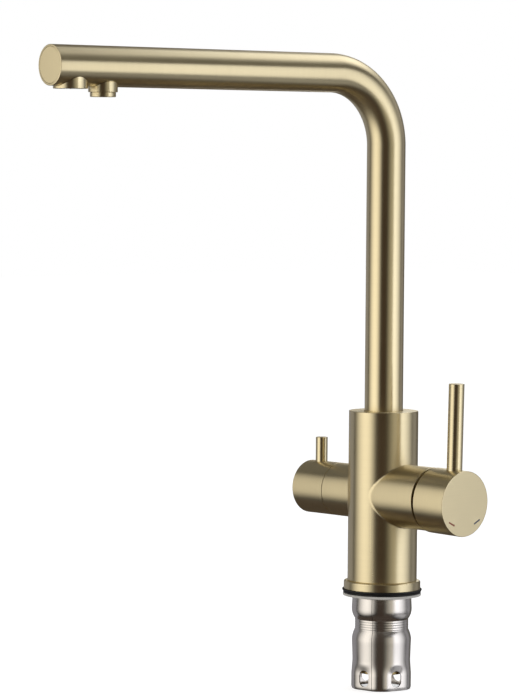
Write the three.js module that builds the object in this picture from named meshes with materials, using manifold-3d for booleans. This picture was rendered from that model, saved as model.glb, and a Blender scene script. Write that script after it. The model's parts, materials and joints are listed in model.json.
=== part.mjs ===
// A three way kitchen tap: hot, cold and filtered water from one round spout.
// Millimetres, +Z up. The origin is the centre of the gasket's underside, on the worktop.
// The user stands on -Y. The mixer handle is on +X and the filter handle on -X.

import * as THREE from 'three';
import { mergeVertices } from 'three/addons/utils/BufferGeometryUtils.js';
import Module from 'manifold-3d';

const wasm = await Module();
wasm.setup();

// ---- Fits, between pieces that touch and between pieces that turn ----
const FIT_GAP = 0.3;
const RUNNING_GAP = 0.3;
const INLAY_GAP = 0.08;
const CUT_OVERRUN = 1;

// ---- Base: gasket, ring, shank, washer and nut ----
const GASKET_RADIUS = 25.9;
const GASKET_HEIGHT = 2.4;
const GASKET_FOOT_RADIUS = 25.2;
const GASKET_GROOVE_RADIUS = 24.9;
const GASKET_GROOVE_HEIGHT = 1.0;
const GASKET_LIP_ROUND = 0.4;
const BASE_RING_RADIUS = 24.9;
const BASE_RING_HEIGHT = 5.4;
const BASE_RING_ROUND = 1.0;
const SPIGOT_WALL = 3.4;
const SHANK_RADIUS = 15.9;
const SHANK_WALL = 2.7;
const SHANK_DROP = 52.4;
const SHANK_DEPTH_IN_BODY = 14;
const WASHER_RADIUS = 25.4;
const WASHER_THICKNESS = 1.6;
const NUT_WALL = 1.05;
const NUT_CROWN_RADIUS = 19.5;
const NUT_CROWN_DROP = 7.6;
const NUT_TOP_RADIUS = 19.0;
const NUT_WAIST_DROP = 15.0;
const NUT_WAIST_LENGTH = 6.4;
const NUT_CROWN_SWELL = 2.5;
const NUT_SHOULDER_RADIUS = 19.25;
const NUT_SHOULDER_SWELL = 2;
const NUT_SHOULDER_RUN = 7.4;
const NUT_BARREL_RADIUS = 18.8;
const NUT_BARREL_RUN = 12;
const NUT_FOOT_RADIUS = 19.4;
const NUT_LENGTH = 60.4;
const NUT_CURL_HEIGHT = 2.2;
const NUT_CURL_DEPTH = 0.44;
const NUT_BEARING = -47.4;
const NUT_FLAT_OFFSET = 36;
const NUT_FLAT_SPAN = 66;
const NUT_FLAT_DEPTH = 1.65;
const NUT_FLAT_TOP = 18;
const NUT_FLAT_FULL = 10;
const BAR_HOLE_WIDTH = 7.7;
const BAR_HOLE_HEIGHT = 10.8;
const BAR_HOLE_RISE = 7.6;

// ---- Body and its two branches ----
const BODY_RADIUS = 22.5;
const BODY_HEIGHT = 110.4;
const BODY_EDGE = 0.5;
const BRANCH_RISE = 56.2;
const MIXER_BRANCH_RADIUS = 20.44;
const MIXER_BRANCH_REACH = 45.96;
const MIXER_BRANCH_EDGE = 0.5;
const FILTER_BRANCH_RADIUS = 17.37;
const FILTER_BRANCH_REACH = 39.66;

// ---- Waterways in the body ----
const INLET_RING_RADIUS = 8.4;
const INLET_PORT_RADIUS = 4.2;
const INLET_PORT_DEPTH = 10;
const WATERWAY_RADIUS = 2.9;
const MIXED_WAY_OFFSET = 8.6;
const HOT_COLD_ANGLE = 52;
const GALLERY_RADIUS = 2.4;
const FILTER_CROSSWAY_RISE = 13;

// ---- Spout ----
const SPOUT_RADIUS = 12.45;
const SPOUT_WALL = 1.25;
const SPOUT_AXIS_HEIGHT = 335.4;
const SPOUT_BEND_RADIUS = 46.2;
const SPOUT_REACH = 260.2;
const SPOUT_SWIVEL = -5.3;
const SPOUT_FOOT_DEPTH = 6.3;
const SOCKET_DEPTH = 33;
const BUSH_STUB = 12;
const BUSH_BORE = 8;
const BUSH_FOOT_GAP = 1.5;
const SEAL_GROOVE_DEPTH = 1.9;
const SEAL_GROOVE_WIDTH = 3;
const SEAL_GROOVE_LOW = 6;
const SEAL_GROOVE_HIGH = 20.5;
const SEAL_SECTION = 0.85;
const LOCK_GROOVE_DEPTH = 1.5;
const LOCK_GROOVE_WIDTH = 6;
const LOCK_GROOVE_RISE = 13.3;
const LOCK_SCREW_RADIUS = 2.4;
const LOCK_SCREW_RECESS = 1;
const SLIDE_RING_WALL = 1.5;
const SLIDE_RING_HEIGHT = 3.4;
const SLIDE_RING_DEPTH = 4;
const SLIDE_RING_SPLIT = 1.6;
const END_PLUG_LENGTH = 4;
const FILTER_TUBE_RADIUS = 3;
const FILTER_TUBE_WALL = 1;
const FILTER_TUBE_DEPTH = 6;
const FILTER_TUBE_ELBOW = 6;
const TUBE_SEAL_SECTION = 0.8;
const TUBE_SEAL_GROOVE_WIDTH = 1.8;
const TUBE_SEAL_GROOVE_DEPTH = 2.7;

// ---- Outlets under the spout ----
const FILTER_OUTLET_FROM_TIP = 14.87;
const FILTER_OUTLET_RADIUS = 10.55;
const FILTER_OUTLET_DROP = 13.9;
const FILTER_SPIGOT_RADIUS = 9.4;
const FILTER_SPIGOT_RISE = 6.5;
const FILTER_TUBE_SEAT_DEPTH = 2.2;
const FILTER_RECESS_RADIUS = 8.2;
const FILTER_RECESS_DEPTH = 4;
const FORMER_THICKNESS = 2.6;
const SIEVE_HOLES = 6;
const SIEVE_HOLE_RADIUS = 0.9;
const AERATOR_FROM_TIP = 38.5;
const AERATOR_SOCKET_RADIUS = 8.98;
const AERATOR_SOCKET_DROP = 15.6;
const AERATOR_SPIGOT_RADIUS = 8.3;
const AERATOR_THREAD_RADIUS = 6.9;
const AERATOR_THREAD_LENGTH = 3.1;
const AERATOR_SLEEVE_RADIUS = 7.9;
const AERATOR_DROP = 18.5;
const AERATOR_WALL = 0.95;
const AERATOR_LIP = 0.8;
const AERATOR_SPIGOT_RISE = 9.4;
const LEDGE_WIDTH = 1.7;
const AERATOR_WASHER_THICKNESS = 1.1;

// ---- Mixer cartridge and its handle ----
const CARTRIDGE_SEAT = 13;
const CARTRIDGE_RADIUS = 17.4;
const CARTRIDGE_LENGTH = 20.2;
const CARTRIDGE_SEAL_THICKNESS = 1;
const CARTRIDGE_SEAL_INSET = 1;
const PORT_DROP = 6;
const MIXED_PORT_RISE = 9;
const ROTOR_RADIUS = 11.6;
const ROTOR_DEPTH = 11;
const ROTOR_REACH = 43.4;
const STEM_SIDE = 7.6;
const STEM_INNER_REACH = 8.6;
const STEM_OUTER_REACH = 30;
const PIVOT_REACH = 37;
const PIVOT_PIN_RADIUS = 1.5;
const PIVOT_PIN_RECESS = 1;
const CARTRIDGE_NUT_LENGTH = 8.4;
const CARTRIDGE_NUT_RADIUS = 18.7;
const NUT_SLOTS = 4;
const NUT_SLOT_WIDTH = 4;
const NUT_SLOT_DEPTH = 2.5;
const HANDLE_TILT = 1.2;
const HANDLE_TRAVEL = 21;
const CAP_RADIUS = 20.97;
const CAP_START = 48.2;
const CAP_END = 73.85;
const CAP_WALL = 1.4;
const CAP_CAVITY_DEPTH = 9.6;
const CAP_EDGE = 0.4;
const STEM_BORE_RADIUS = 5.9;
const LEVER_RADIUS = 4.98;
const LEVER_REACH = 63.9;
const LEVER_TOP = 75.7;
const LEVER_SEAT_DEPTH = 6;
const LEVER_EDGE = 0.35;
const GRUB_RADIUS = 2.4;
const GRUB_LENGTH = 7;
const MIXER_GRUB_REACH = 62.5;
const MARK_LENGTH = 5.8;
const MARK_WIDTH = 0.95;
const MARK_DEPTH = 0.5;
const MARK_SPREAD = 11.4;
const MARK_DROP = 12;
const MARK_SLOPE = 27;

// ---- Filter valve and its handle ----
const VALVE_BORE_RADIUS = 9.6;
const VALVE_BORE_START = 19;
const VALVE_BORE_END = 34;
const VALVE_RECESS_RADIUS = 13.6;
const VALVE_HEX_RADIUS = 12.4;
const VALVE_HEX_LENGTH = 5.6;
const VALVE_NECK_RADIUS = 8;
const VALVE_NECK_LENGTH = 5;
const VALVE_CAVITY_RADIUS = 5.5;
const VALVE_CAVITY_DEPTH = 10.5;
const VALVE_WINDOW_REACH = 25.5;
const VALVE_SEAL_SECTION = 0.9;
const SPINDLE_RADIUS = 4.3;
const SPINDLE_DISC_RADIUS = 5.1;
const SPINDLE_DISC_THICKNESS = 2;
const SPINDLE_END = 58.5;
const SPINDLE_FLAT = 1;
const KNOB_GAP = 0.4;
const KNOB_END = 67.7;
const KNOB_CAVITY_RADIUS = 15.6;
const KNOB_CAVITY_DEPTH = 10;
const KNOB_EDGE = 0.35;
const KNOB_GRUB_REACH = 54.5;
const KNOB_GRUB_RADIUS = 2;
const SMALL_LEVER_RADIUS = 3.94;
const SMALL_LEVER_REACH = 57.96;
const SMALL_LEVER_TOP = 33.2;
const SMALL_LEVER_SEAT_DEPTH = 5;

// ---- Facets round a circle ----
const FINE = 32;
const TUBE_FACETS = 28;
const NUT_FACETS = 40;
const MEDIUM = 20;
const COARSE = 8;
const HEXAGON = 6;
const SEAL_SIDES = 6;

// ---- Steps along a curve ----
const BEND_STEPS = 8;
const SWELL_STEPS = 3;
const CORNER_STEPS = 3;

// ---- Heights that follow from the sizes above ----
const RING_TOP = GASKET_HEIGHT + BASE_RING_HEIGHT;
const BODY_TOP = RING_TOP + BODY_HEIGHT;
const BRANCH_HEIGHT = RING_TOP + BRANCH_RISE;
const SOCKET_FLOOR = BODY_TOP - SOCKET_DEPTH;
const SPIGOT_RADIUS = SHANK_RADIUS + FIT_GAP + SPIGOT_WALL;
const SPOUT_BORE = SPOUT_RADIUS - SPOUT_WALL;
const NUT_TOP = -WASHER_THICKNESS - 2 * FIT_GAP;

// ---- Finishes ----
const finish = (color, roughness, metalness) => ({ color, roughness, metalness });
const BRUSHED_BRASS = finish(0xc3ae7c, 0.34, 1);
const RAW_BRASS = finish(0xb99a55, 0.4, 1);
const STAINLESS = finish(0xb9b2ac, 0.26, 1);
const STEEL = finish(0x8f9296, 0.35, 1);
const BLACK_RUBBER = finish(0x141414, 0.75, 0);
const PALE_FIBRE = finish(0xd6d4cf, 0.6, 0);
const WHITE_PLASTIC = finish(0xe6e6e2, 0.5, 0);
const GREY_PLASTIC = finish(0x7d8186, 0.55, 0);
const RED_PAINT = finish(0x9c4a38, 0.5, 0);
const BLUE_PAINT = finish(0x6a6f78, 0.5, 0);

// ---- Solids ----

// Turns a closed three.js geometry into a solid that can be joined and cut.
function solid(geometry) {
  const bare = geometry.clone();
  bare.deleteAttribute('normal');
  bare.deleteAttribute('uv');
  const merged = mergeVertices(bare, 1e-4);
  const corners = merged.index.array;
  const kept = [];
  for (let i = 0; i < corners.length; i += 3) {
    const [a, b, c] = [corners[i], corners[i + 1], corners[i + 2]];
    if (a !== b && b !== c && c !== a) kept.push(a, b, c);
  }
  const vertProperties = new Float32Array(merged.attributes.position.array);
  return new wasm.Manifold(new wasm.Mesh({
    numProp: 3, vertProperties, triVerts: new Uint32Array(kept),
  }));
}

// Gives the named mesh of a solid.
function piece(name, shape, look) {
  const found = shape.getMesh();
  const geometry = new THREE.BufferGeometry();
  const points = new Float32Array(found.vertProperties);
  geometry.setAttribute('position', new THREE.BufferAttribute(points, 3));
  geometry.setIndex(new THREE.BufferAttribute(new Uint32Array(found.triVerts), 1));
  geometry.computeVertexNormals();
  const mesh = new THREE.Mesh(geometry, new THREE.MeshStandardMaterial(look));
  mesh.name = name;
  return mesh;
}

const AXIS_TURNS = {
  '+z': (g) => g,
  '-z': (g) => g.rotateX(Math.PI),
  '+x': (g) => g.rotateY(Math.PI / 2),
  '-x': (g) => g.rotateY(-Math.PI / 2),
  '+y': (g) => g.rotateX(-Math.PI / 2),
  '-y': (g) => g.rotateX(Math.PI / 2),
};

// A turned solid: its outline is a list of [radius, distance along the axis], read up the outside.
// An outline that leaves the axis open at its ends is closed on the axis; a ring's closes on itself.
function turnedGeometry(outline, axis, facets) {
  const points = outline.map(([radius, along]) => new THREE.Vector2(radius, along));
  const geometry = new THREE.LatheGeometry(points, facets);
  geometry.rotateX(Math.PI / 2);
  return AXIS_TURNS[axis](geometry);
}

function turned(outline, axis = '+z', facets = FINE) {
  const first = outline[0];
  const last = outline[outline.length - 1];
  return solid(turnedGeometry([[0, first[1]], ...outline, [0, last[1]]], axis, facets));
}

function turnedRing(outline, axis = '+z', facets = FINE) {
  return solid(turnedGeometry([...outline, outline[0]], axis, facets));
}

function disc(radius, from, to, axis = '+z', facets = FINE) {
  return turned([[radius, from], [radius, to]], axis, facets);
}

function ring(inner, outer, from, to, axis = '+z', facets = FINE) {
  return turnedRing([[inner, from], [outer, from], [outer, to], [inner, to]], axis, facets);
}

// A round bar between two points.
function rod(radius, from, to, facets = COARSE) {
  const start = new THREE.Vector3(...from);
  const end = new THREE.Vector3(...to);
  const along = end.clone().sub(start);
  const geometry = new THREE.CylinderGeometry(radius, radius, along.length(), facets);
  const up = new THREE.Vector3(0, 1, 0);
  geometry.applyQuaternion(new THREE.Quaternion().setFromUnitVectors(up, along.clone().normalize()));
  const middle = start.add(end).multiplyScalar(0.5);
  geometry.translate(middle.x, middle.y, middle.z);
  return solid(geometry);
}

function block(size, centre) {
  return solid(new THREE.BoxGeometry(...size).translate(...centre));
}

const radians = THREE.MathUtils.degToRad;

// ---- Base ----

function baseGasket() {
  const inner = SPIGOT_RADIUS + FIT_GAP;
  const round = GASKET_LIP_ROUND;
  return turnedRing([
    [inner, 0], [GASKET_FOOT_RADIUS - round, 0], [GASKET_FOOT_RADIUS, round],
    [GASKET_GROOVE_RADIUS, GASKET_GROOVE_HEIGHT], [GASKET_RADIUS, GASKET_GROOVE_HEIGHT + round],
    [GASKET_RADIUS, GASKET_HEIGHT - round], [GASKET_RADIUS - round, GASKET_HEIGHT],
    [inner, GASKET_HEIGHT],
  ]);
}

function baseRing() {
  const inner = SPIGOT_RADIUS + FIT_GAP;
  const low = GASKET_HEIGHT;
  const high = RING_TOP;
  const round = BASE_RING_ROUND;
  const corner = arc(BASE_RING_RADIUS - round, high - round, round, 0, 90, CORNER_STEPS);
  return turnedRing([[inner, low], [BASE_RING_RADIUS, low], ...corner, [inner, high]]);
}

// Points of an arc in an outline, from one angle to another in degrees.
function arc(centreRadius, centreAlong, radius, from, to, steps) {
  const points = [];
  for (let i = 0; i <= steps; i++) {
    const angle = radians(from + (to - from) * i / steps);
    points.push([centreRadius + radius * Math.cos(angle), centreAlong + radius * Math.sin(angle)]);
  }
  return points;
}

function threadedShank() {
  const inner = SHANK_RADIUS - SHANK_WALL;
  return ring(inner, SHANK_RADIUS, -SHANK_DROP, SHANK_DEPTH_IN_BODY, '+z', TUBE_FACETS);
}

function clampWasher() {
  const top = -FIT_GAP;
  return ring(SHANK_RADIUS + RUNNING_GAP, WASHER_RADIUS, top - WASHER_THICKNESS, top);
}

// Outer radius of the sleeve nut at each depth below its top rim.
function nutOutline() {
  const waist = SHANK_RADIUS + RUNNING_GAP + NUT_WALL;
  const waistEnd = NUT_WAIST_DROP + NUT_WAIST_LENGTH;
  const shoulder = waistEnd + NUT_SHOULDER_RUN;
  const swell = (from, to, start, end, power) => {
    const points = [];
    for (let i = 1; i <= SWELL_STEPS; i++) {
      const t = i / SWELL_STEPS;
      points.push([from + (to - from) * t ** power, start + (end - start) * t]);
    }
    return points;
  };
  return [
    [NUT_TOP_RADIUS, 0],
    [NUT_CROWN_RADIUS, NUT_CROWN_DROP],
    ...swell(NUT_CROWN_RADIUS, waist, NUT_CROWN_DROP, NUT_WAIST_DROP, NUT_CROWN_SWELL),
    ...swell(NUT_SHOULDER_RADIUS, waist, shoulder, waistEnd, NUT_SHOULDER_SWELL).reverse(),
    [NUT_SHOULDER_RADIUS, shoulder],
    [NUT_BARREL_RADIUS, shoulder + NUT_BARREL_RUN],
    [NUT_BARREL_RADIUS, NUT_LENGTH - NUT_FLAT_TOP],
    [(NUT_BARREL_RADIUS + NUT_FOOT_RADIUS) / 2, NUT_LENGTH - (NUT_FLAT_TOP + NUT_FLAT_FULL) / 2],
    [NUT_FOOT_RADIUS, NUT_LENGTH - NUT_FLAT_FULL],
    [NUT_FOOT_RADIUS, NUT_LENGTH - NUT_CURL_HEIGHT],
    [NUT_FOOT_RADIUS - NUT_CURL_DEPTH, NUT_LENGTH],
  ];
}

// How far the flats are pressed in at an angle from the nut's own bearing, from 0 to 1. The four
// flats lie in two opposite pairs, so the angle folds into one quarter turn.
function flatShare(angle) {
  const folded = Math.abs(Math.asin(Math.sin(angle)));
  const off = Math.abs(folded - radians(NUT_FLAT_OFFSET)) / radians(NUT_FLAT_SPAN / 2);
  return off < 1 ? (1 + Math.cos(Math.PI * off)) / 2 : 0;
}

// Presses the four flats in round the foot of the nut.
function pressFlats(geometry, foot) {
  const position = geometry.attributes.position;
  for (let i = 0; i < position.count; i++) {
    const rise = position.getZ(i) - foot;
    const rest = THREE.MathUtils.smoothstep(rise, NUT_FLAT_FULL, NUT_FLAT_TOP);
    const angle = Math.atan2(position.getY(i), position.getX(i)) - radians(NUT_BEARING);
    const press = 1 - NUT_FLAT_DEPTH * (1 - rest) * flatShare(angle) / NUT_FOOT_RADIUS;
    position.setXY(i, position.getX(i) * press, position.getY(i) * press);
  }
  return geometry;
}

function barHole(angle, foot) {
  const half = BAR_HOLE_WIDTH / 2;
  const straight = BAR_HOLE_HEIGHT / 2 - half;
  const slot = new THREE.Shape();
  slot.absarc(0, straight, half, 0, Math.PI, false);
  slot.absarc(0, -straight, half, Math.PI, 2 * Math.PI, false);
  slot.closePath();
  const depth = NUT_FOOT_RADIUS;
  const curveSegments = COARSE / 2;
  const geometry = new THREE.ExtrudeGeometry(slot, { depth, bevelEnabled: false, curveSegments });
  geometry.rotateX(Math.PI / 2);
  geometry.rotateZ(Math.PI / 2 + radians(angle));
  const reach = NUT_FOOT_RADIUS / 2;
  const [x, y] = [reach * Math.cos(radians(angle)), reach * Math.sin(radians(angle))];
  return solid(geometry.translate(x, y, foot + BAR_HOLE_RISE));
}

function sleeveNut() {
  const foot = NUT_TOP - NUT_LENGTH;
  const outside = nutOutline().map(([radius, depth]) => [radius, NUT_TOP - depth]).reverse();
  const inside = outside.map(([radius, along]) => [radius - NUT_WALL, along]).reverse();
  let nut = solid(pressFlats(turnedGeometry([...outside, ...inside, outside[0]], '+z', NUT_FACETS), foot));
  for (const offset of [-NUT_FLAT_OFFSET, NUT_FLAT_OFFSET]) {
    nut = nut.subtract(barHole(NUT_BEARING + offset, foot));
    nut = nut.subtract(barHole(NUT_BEARING + offset + 180, foot));
  }
  return nut;
}

// ---- Body ----

function inletPorts() {
  return [HOT_COLD_ANGLE, -HOT_COLD_ANGLE, 180].map((angle) => [
    INLET_RING_RADIUS * Math.cos(radians(angle)),
    INLET_RING_RADIUS * Math.sin(radians(angle)),
  ]);
}

function body() {
  const low = FIT_GAP;
  let shape = turned([
    [SPIGOT_RADIUS, low], [SPIGOT_RADIUS, RING_TOP],
    [BODY_RADIUS - BODY_EDGE, RING_TOP], [BODY_RADIUS, RING_TOP + BODY_EDGE],
    [BODY_RADIUS, BODY_TOP - BODY_EDGE], [BODY_RADIUS - BODY_EDGE, BODY_TOP],
  ]);
  const lift = (part) => part.translate([0, 0, BRANCH_HEIGHT]);
  shape = shape.add(lift(turned([
    [MIXER_BRANCH_RADIUS, 0], [MIXER_BRANCH_RADIUS, MIXER_BRANCH_REACH - MIXER_BRANCH_EDGE],
    [MIXER_BRANCH_RADIUS - MIXER_BRANCH_EDGE, MIXER_BRANCH_REACH],
  ], '+x')));
  shape = shape.add(lift(disc(FILTER_BRANCH_RADIUS, 0, FILTER_BRANCH_REACH, '-x')));
  for (const cut of [...baseCuts(), ...mixerCuts(), ...filterCuts(), ...spoutCuts()]) {
    shape = shape.subtract(cut);
  }
  return shape;
}

function baseCuts() {
  const floor = SHANK_DEPTH_IN_BODY + FIT_GAP;
  const socket = disc(SHANK_RADIUS + FIT_GAP, -CUT_OVERRUN, floor, '+z', TUBE_FACETS);
  const ports = inletPorts().map(([x, y]) => (
    rod(INLET_PORT_RADIUS, [x, y, floor - CUT_OVERRUN], [x, y, floor + INLET_PORT_DEPTH])
  ));
  return [socket, ...ports];
}

function mixerCuts() {
  const [hot, cold] = inletPorts();
  const start = SHANK_DEPTH_IN_BODY + INLET_PORT_DEPTH;
  const level = BRANCH_HEIGHT - PORT_DROP;
  const mixedLevel = BRANCH_HEIGHT + MIXED_PORT_RISE;
  const seat = CARTRIDGE_SEAT + FIT_GAP;
  const cuts = [hot, cold].flatMap(([x, y]) => [
    rod(WATERWAY_RADIUS, [x, y, start], [x, y, level + WATERWAY_RADIUS]),
    rod(WATERWAY_RADIUS, [x, y, level], [seat, y, level]),
  ]);
  cuts.push(
    rod(WATERWAY_RADIUS, [MIXED_WAY_OFFSET, 0, mixedLevel], [seat, 0, mixedLevel]),
    rod(WATERWAY_RADIUS, [MIXED_WAY_OFFSET, 0, mixedLevel - WATERWAY_RADIUS],
      [MIXED_WAY_OFFSET, 0, SOCKET_FLOOR + FIT_GAP]),
    disc(CARTRIDGE_RADIUS + FIT_GAP, CARTRIDGE_SEAT, MIXER_BRANCH_REACH + CUT_OVERRUN, '+x')
      .translate([0, 0, BRANCH_HEIGHT]),
    disc(CARTRIDGE_NUT_RADIUS + FIT_GAP, cartridgeTop(), MIXER_BRANCH_REACH + CUT_OVERRUN, '+x')
      .translate([0, 0, BRANCH_HEIGHT]),
  );
  return cuts;
}

function filterCuts() {
  const inlet = inletPorts()[2];
  const start = SHANK_DEPTH_IN_BODY + INLET_PORT_DEPTH;
  const crossway = BRANCH_HEIGHT + FILTER_CROSSWAY_RISE;
  const window = -VALVE_WINDOW_REACH;
  return [
    rod(WATERWAY_RADIUS, [inlet[0], 0, start], [inlet[0], 0, BRANCH_HEIGHT + WATERWAY_RADIUS]),
    rod(WATERWAY_RADIUS, [inlet[0], 0, BRANCH_HEIGHT], [-VALVE_BORE_START - FIT_GAP, 0, BRANCH_HEIGHT]),
    rod(GALLERY_RADIUS, [window, 0, BRANCH_HEIGHT + VALVE_CAVITY_RADIUS], [window, 0, crossway]),
    rod(GALLERY_RADIUS, [window - GALLERY_RADIUS, 0, crossway], [GALLERY_RADIUS, 0, crossway]),
    rod(GALLERY_RADIUS, [0, 0, crossway - GALLERY_RADIUS], [0, 0, SOCKET_FLOOR + FIT_GAP]),
    disc(VALVE_BORE_RADIUS, VALVE_BORE_START, VALVE_BORE_END + FIT_GAP, '-x', MEDIUM)
      .translate([0, 0, BRANCH_HEIGHT]),
    disc(VALVE_RECESS_RADIUS, VALVE_BORE_END, FILTER_BRANCH_REACH + CUT_OVERRUN, '-x', MEDIUM)
      .translate([0, 0, BRANCH_HEIGHT]),
  ];
}

function spoutCuts() {
  const mouth = SPOUT_RADIUS + RUNNING_GAP;
  const groove = mouth + SLIDE_RING_WALL;
  const grooveTop = BODY_TOP - SLIDE_RING_DEPTH + FIT_GAP;
  const seal = FILTER_TUBE_RADIUS + FIT_GAP + TUBE_SEAL_GROOVE_WIDTH;
  const screwHeight = SOCKET_FLOOR + LOCK_GROOVE_RISE;
  return [
    disc(mouth, SOCKET_FLOOR, BODY_TOP + CUT_OVERRUN),
    ring(mouth - CUT_OVERRUN, groove, grooveTop - SLIDE_RING_HEIGHT - 2 * FIT_GAP, grooveTop),
    disc(FILTER_TUBE_RADIUS + FIT_GAP, SOCKET_FLOOR - FILTER_TUBE_DEPTH - FIT_GAP, SOCKET_FLOOR + FIT_GAP,
      '+z', COARSE),
    disc(seal, SOCKET_FLOOR - TUBE_SEAL_GROOVE_DEPTH, SOCKET_FLOOR + FIT_GAP, '+z', MEDIUM),
    rod(LOCK_SCREW_RADIUS + FIT_GAP, [0, SPOUT_RADIUS - CUT_OVERRUN, screwHeight],
      [0, BODY_RADIUS + CUT_OVERRUN, screwHeight]),
  ];
}

function cartridgeTop() {
  return CARTRIDGE_SEAT + FIT_GAP + CARTRIDGE_SEAL_THICKNESS + FIT_GAP + CARTRIDGE_LENGTH;
}

// ---- Spout ----

// The spout's middle line: up the body's axis, round the bend and out level to a given reach.
class SpoutLine extends THREE.Curve {
  constructor(foot, reach, elbow = null) {
    super();
    this.stations = [];
    const add = (y, z, tangentY, tangentZ) => {
      this.stations.push([new THREE.Vector3(0, y, z), new THREE.Vector3(0, tangentY, tangentZ)]);
    };
    const spring = SPOUT_AXIS_HEIGHT - SPOUT_BEND_RADIUS;
    add(0, foot, 0, 1);
    for (let i = 0; i <= BEND_STEPS; i++) {
      const turn = Math.PI / 2 * i / BEND_STEPS;
      const [sine, cosine] = [Math.sin(turn), Math.cos(turn)];
      add(-SPOUT_BEND_RADIUS * (1 - cosine), spring + SPOUT_BEND_RADIUS * sine, -sine, cosine);
    }
    if (elbow === null) {
      add(-reach, SPOUT_AXIS_HEIGHT, -1, 0);
    } else {
      const steps = BEND_STEPS / 2;
      for (let i = 0; i <= steps; i++) {
        const turn = Math.PI / 2 * i / steps;
        const [sine, cosine] = [Math.sin(turn), Math.cos(turn)];
        add(-(reach - elbow.radius) - elbow.radius * sine,
          SPOUT_AXIS_HEIGHT - elbow.radius * (1 - cosine), -cosine, -sine);
      }
      add(-reach, elbow.end, 0, -1);
    }
  }

  get steps() {
    return this.stations.length - 1;
  }

  getPointAt(u) {
    return this.stations[Math.round(u * this.steps)][0].clone();
  }

  getTangentAt(u) {
    return this.stations[Math.round(u * this.steps)][1].clone();
  }
}

function pipe(line, outer, inner, facets) {
  const section = new THREE.Shape();
  section.absarc(0, 0, outer, 0, 2 * Math.PI, false);
  const bore = new THREE.Path();
  bore.absarc(0, 0, inner, 0, 2 * Math.PI, true);
  section.holes.push(bore);
  return solid(new THREE.ExtrudeGeometry(section, {
    steps: line.steps, extrudePath: line, curveSegments: facets / 2, bevelEnabled: false,
  }));
}

const FILTER_OUTLET_REACH = SPOUT_REACH - FILTER_OUTLET_FROM_TIP;
const AERATOR_REACH = SPOUT_REACH - AERATOR_FROM_TIP;
const TUBE_FOOT = BODY_TOP - SPOUT_FOOT_DEPTH;

// Places a part turned about Z under the spout's axis, at a reach along it.
function underSpout(part, reach) {
  return part.translate([0, -reach, SPOUT_AXIS_HEIGHT]);
}

function spoutTube() {
  let tube = pipe(new SpoutLine(TUBE_FOOT, SPOUT_REACH), SPOUT_RADIUS, SPOUT_BORE, TUBE_FACETS);
  for (const [radius, reach] of [
    [FILTER_SPIGOT_RADIUS, FILTER_OUTLET_REACH], [AERATOR_SPIGOT_RADIUS, AERATOR_REACH],
  ]) {
    tube = tube.subtract(underSpout(disc(radius + FIT_GAP, -2 * SPOUT_RADIUS, 0, '+z', MEDIUM), reach));
  }
  return tube;
}

// A boss under the spout: cut to the tube's curve, with a spigot through the tube's wall.
function saddleBoss(radius, drop, spigot, spigotTop, reach) {
  const tube = disc(SPOUT_RADIUS + FIT_GAP, -3 * radius, 3 * radius, '+y', TUBE_FACETS);
  let boss = disc(radius, -drop, 0, '+z', TUBE_FACETS).subtract(tube);
  boss = boss.add(disc(spigot, -drop + CUT_OVERRUN / 2, -spigotTop, '+z', MEDIUM));
  return { boss, place: (part) => underSpout(part, reach) };
}

function filterOutletBoss() {
  const { boss, place } = saddleBoss(FILTER_OUTLET_RADIUS, FILTER_OUTLET_DROP, FILTER_SPIGOT_RADIUS,
    FILTER_SPIGOT_RISE, FILTER_OUTLET_REACH);
  const tubeSeat = disc(FILTER_TUBE_RADIUS + FIT_GAP, -filterTubeEndDrop() - FIT_GAP, 0, '+z', COARSE);
  const way = disc(FILTER_TUBE_RADIUS - FILTER_TUBE_WALL, -2 * FILTER_OUTLET_DROP, 0, '+z', COARSE);
  const recess = disc(FILTER_RECESS_RADIUS, -FILTER_OUTLET_DROP - CUT_OVERRUN,
    -FILTER_OUTLET_DROP + FILTER_RECESS_DEPTH, '+z', MEDIUM);
  return place(boss.subtract(tubeSeat).subtract(way).subtract(recess));
}

function filterTubeEndDrop() {
  return FILTER_SPIGOT_RISE + FILTER_TUBE_SEAT_DEPTH;
}

// A round plate with a ring of holes about a middle one.
function sievePlate(radius, from, to) {
  const pitch = radius / 2;
  const drill = (x, y) => rod(SIEVE_HOLE_RADIUS, [x, y, from - CUT_OVERRUN], [x, y, to + CUT_OVERRUN]);
  let plate = disc(radius, from, to, '+z', MEDIUM).subtract(drill(0, 0));
  for (let i = 0; i < SIEVE_HOLES; i++) {
    const angle = i * 2 * Math.PI / SIEVE_HOLES;
    plate = plate.subtract(drill(pitch * Math.cos(angle), pitch * Math.sin(angle)));
  }
  return plate;
}

function filterStreamFormer() {
  const top = -FILTER_OUTLET_DROP + FILTER_RECESS_DEPTH - FIT_GAP;
  const radius = FILTER_RECESS_RADIUS - FIT_GAP;
  return underSpout(sievePlate(radius, top - FORMER_THICKNESS, top), FILTER_OUTLET_REACH);
}

function aeratorSocket() {
  const { boss, place } = saddleBoss(AERATOR_SOCKET_RADIUS, AERATOR_SOCKET_DROP, AERATOR_SPIGOT_RADIUS,
    AERATOR_SPIGOT_RISE, AERATOR_REACH);
  const threadTop = -AERATOR_SOCKET_DROP + AERATOR_THREAD_LENGTH + AERATOR_WASHER_THICKNESS + 2 * FIT_GAP;
  const thread = disc(AERATOR_THREAD_RADIUS + FIT_GAP, -AERATOR_SOCKET_DROP - CUT_OVERRUN, threadTop,
    '+z', MEDIUM);
  const way = disc(AERATOR_THREAD_RADIUS - LEDGE_WIDTH, -AERATOR_SOCKET_DROP, 0, '+z', MEDIUM);
  return place(boss.subtract(thread).subtract(way));
}

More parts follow.
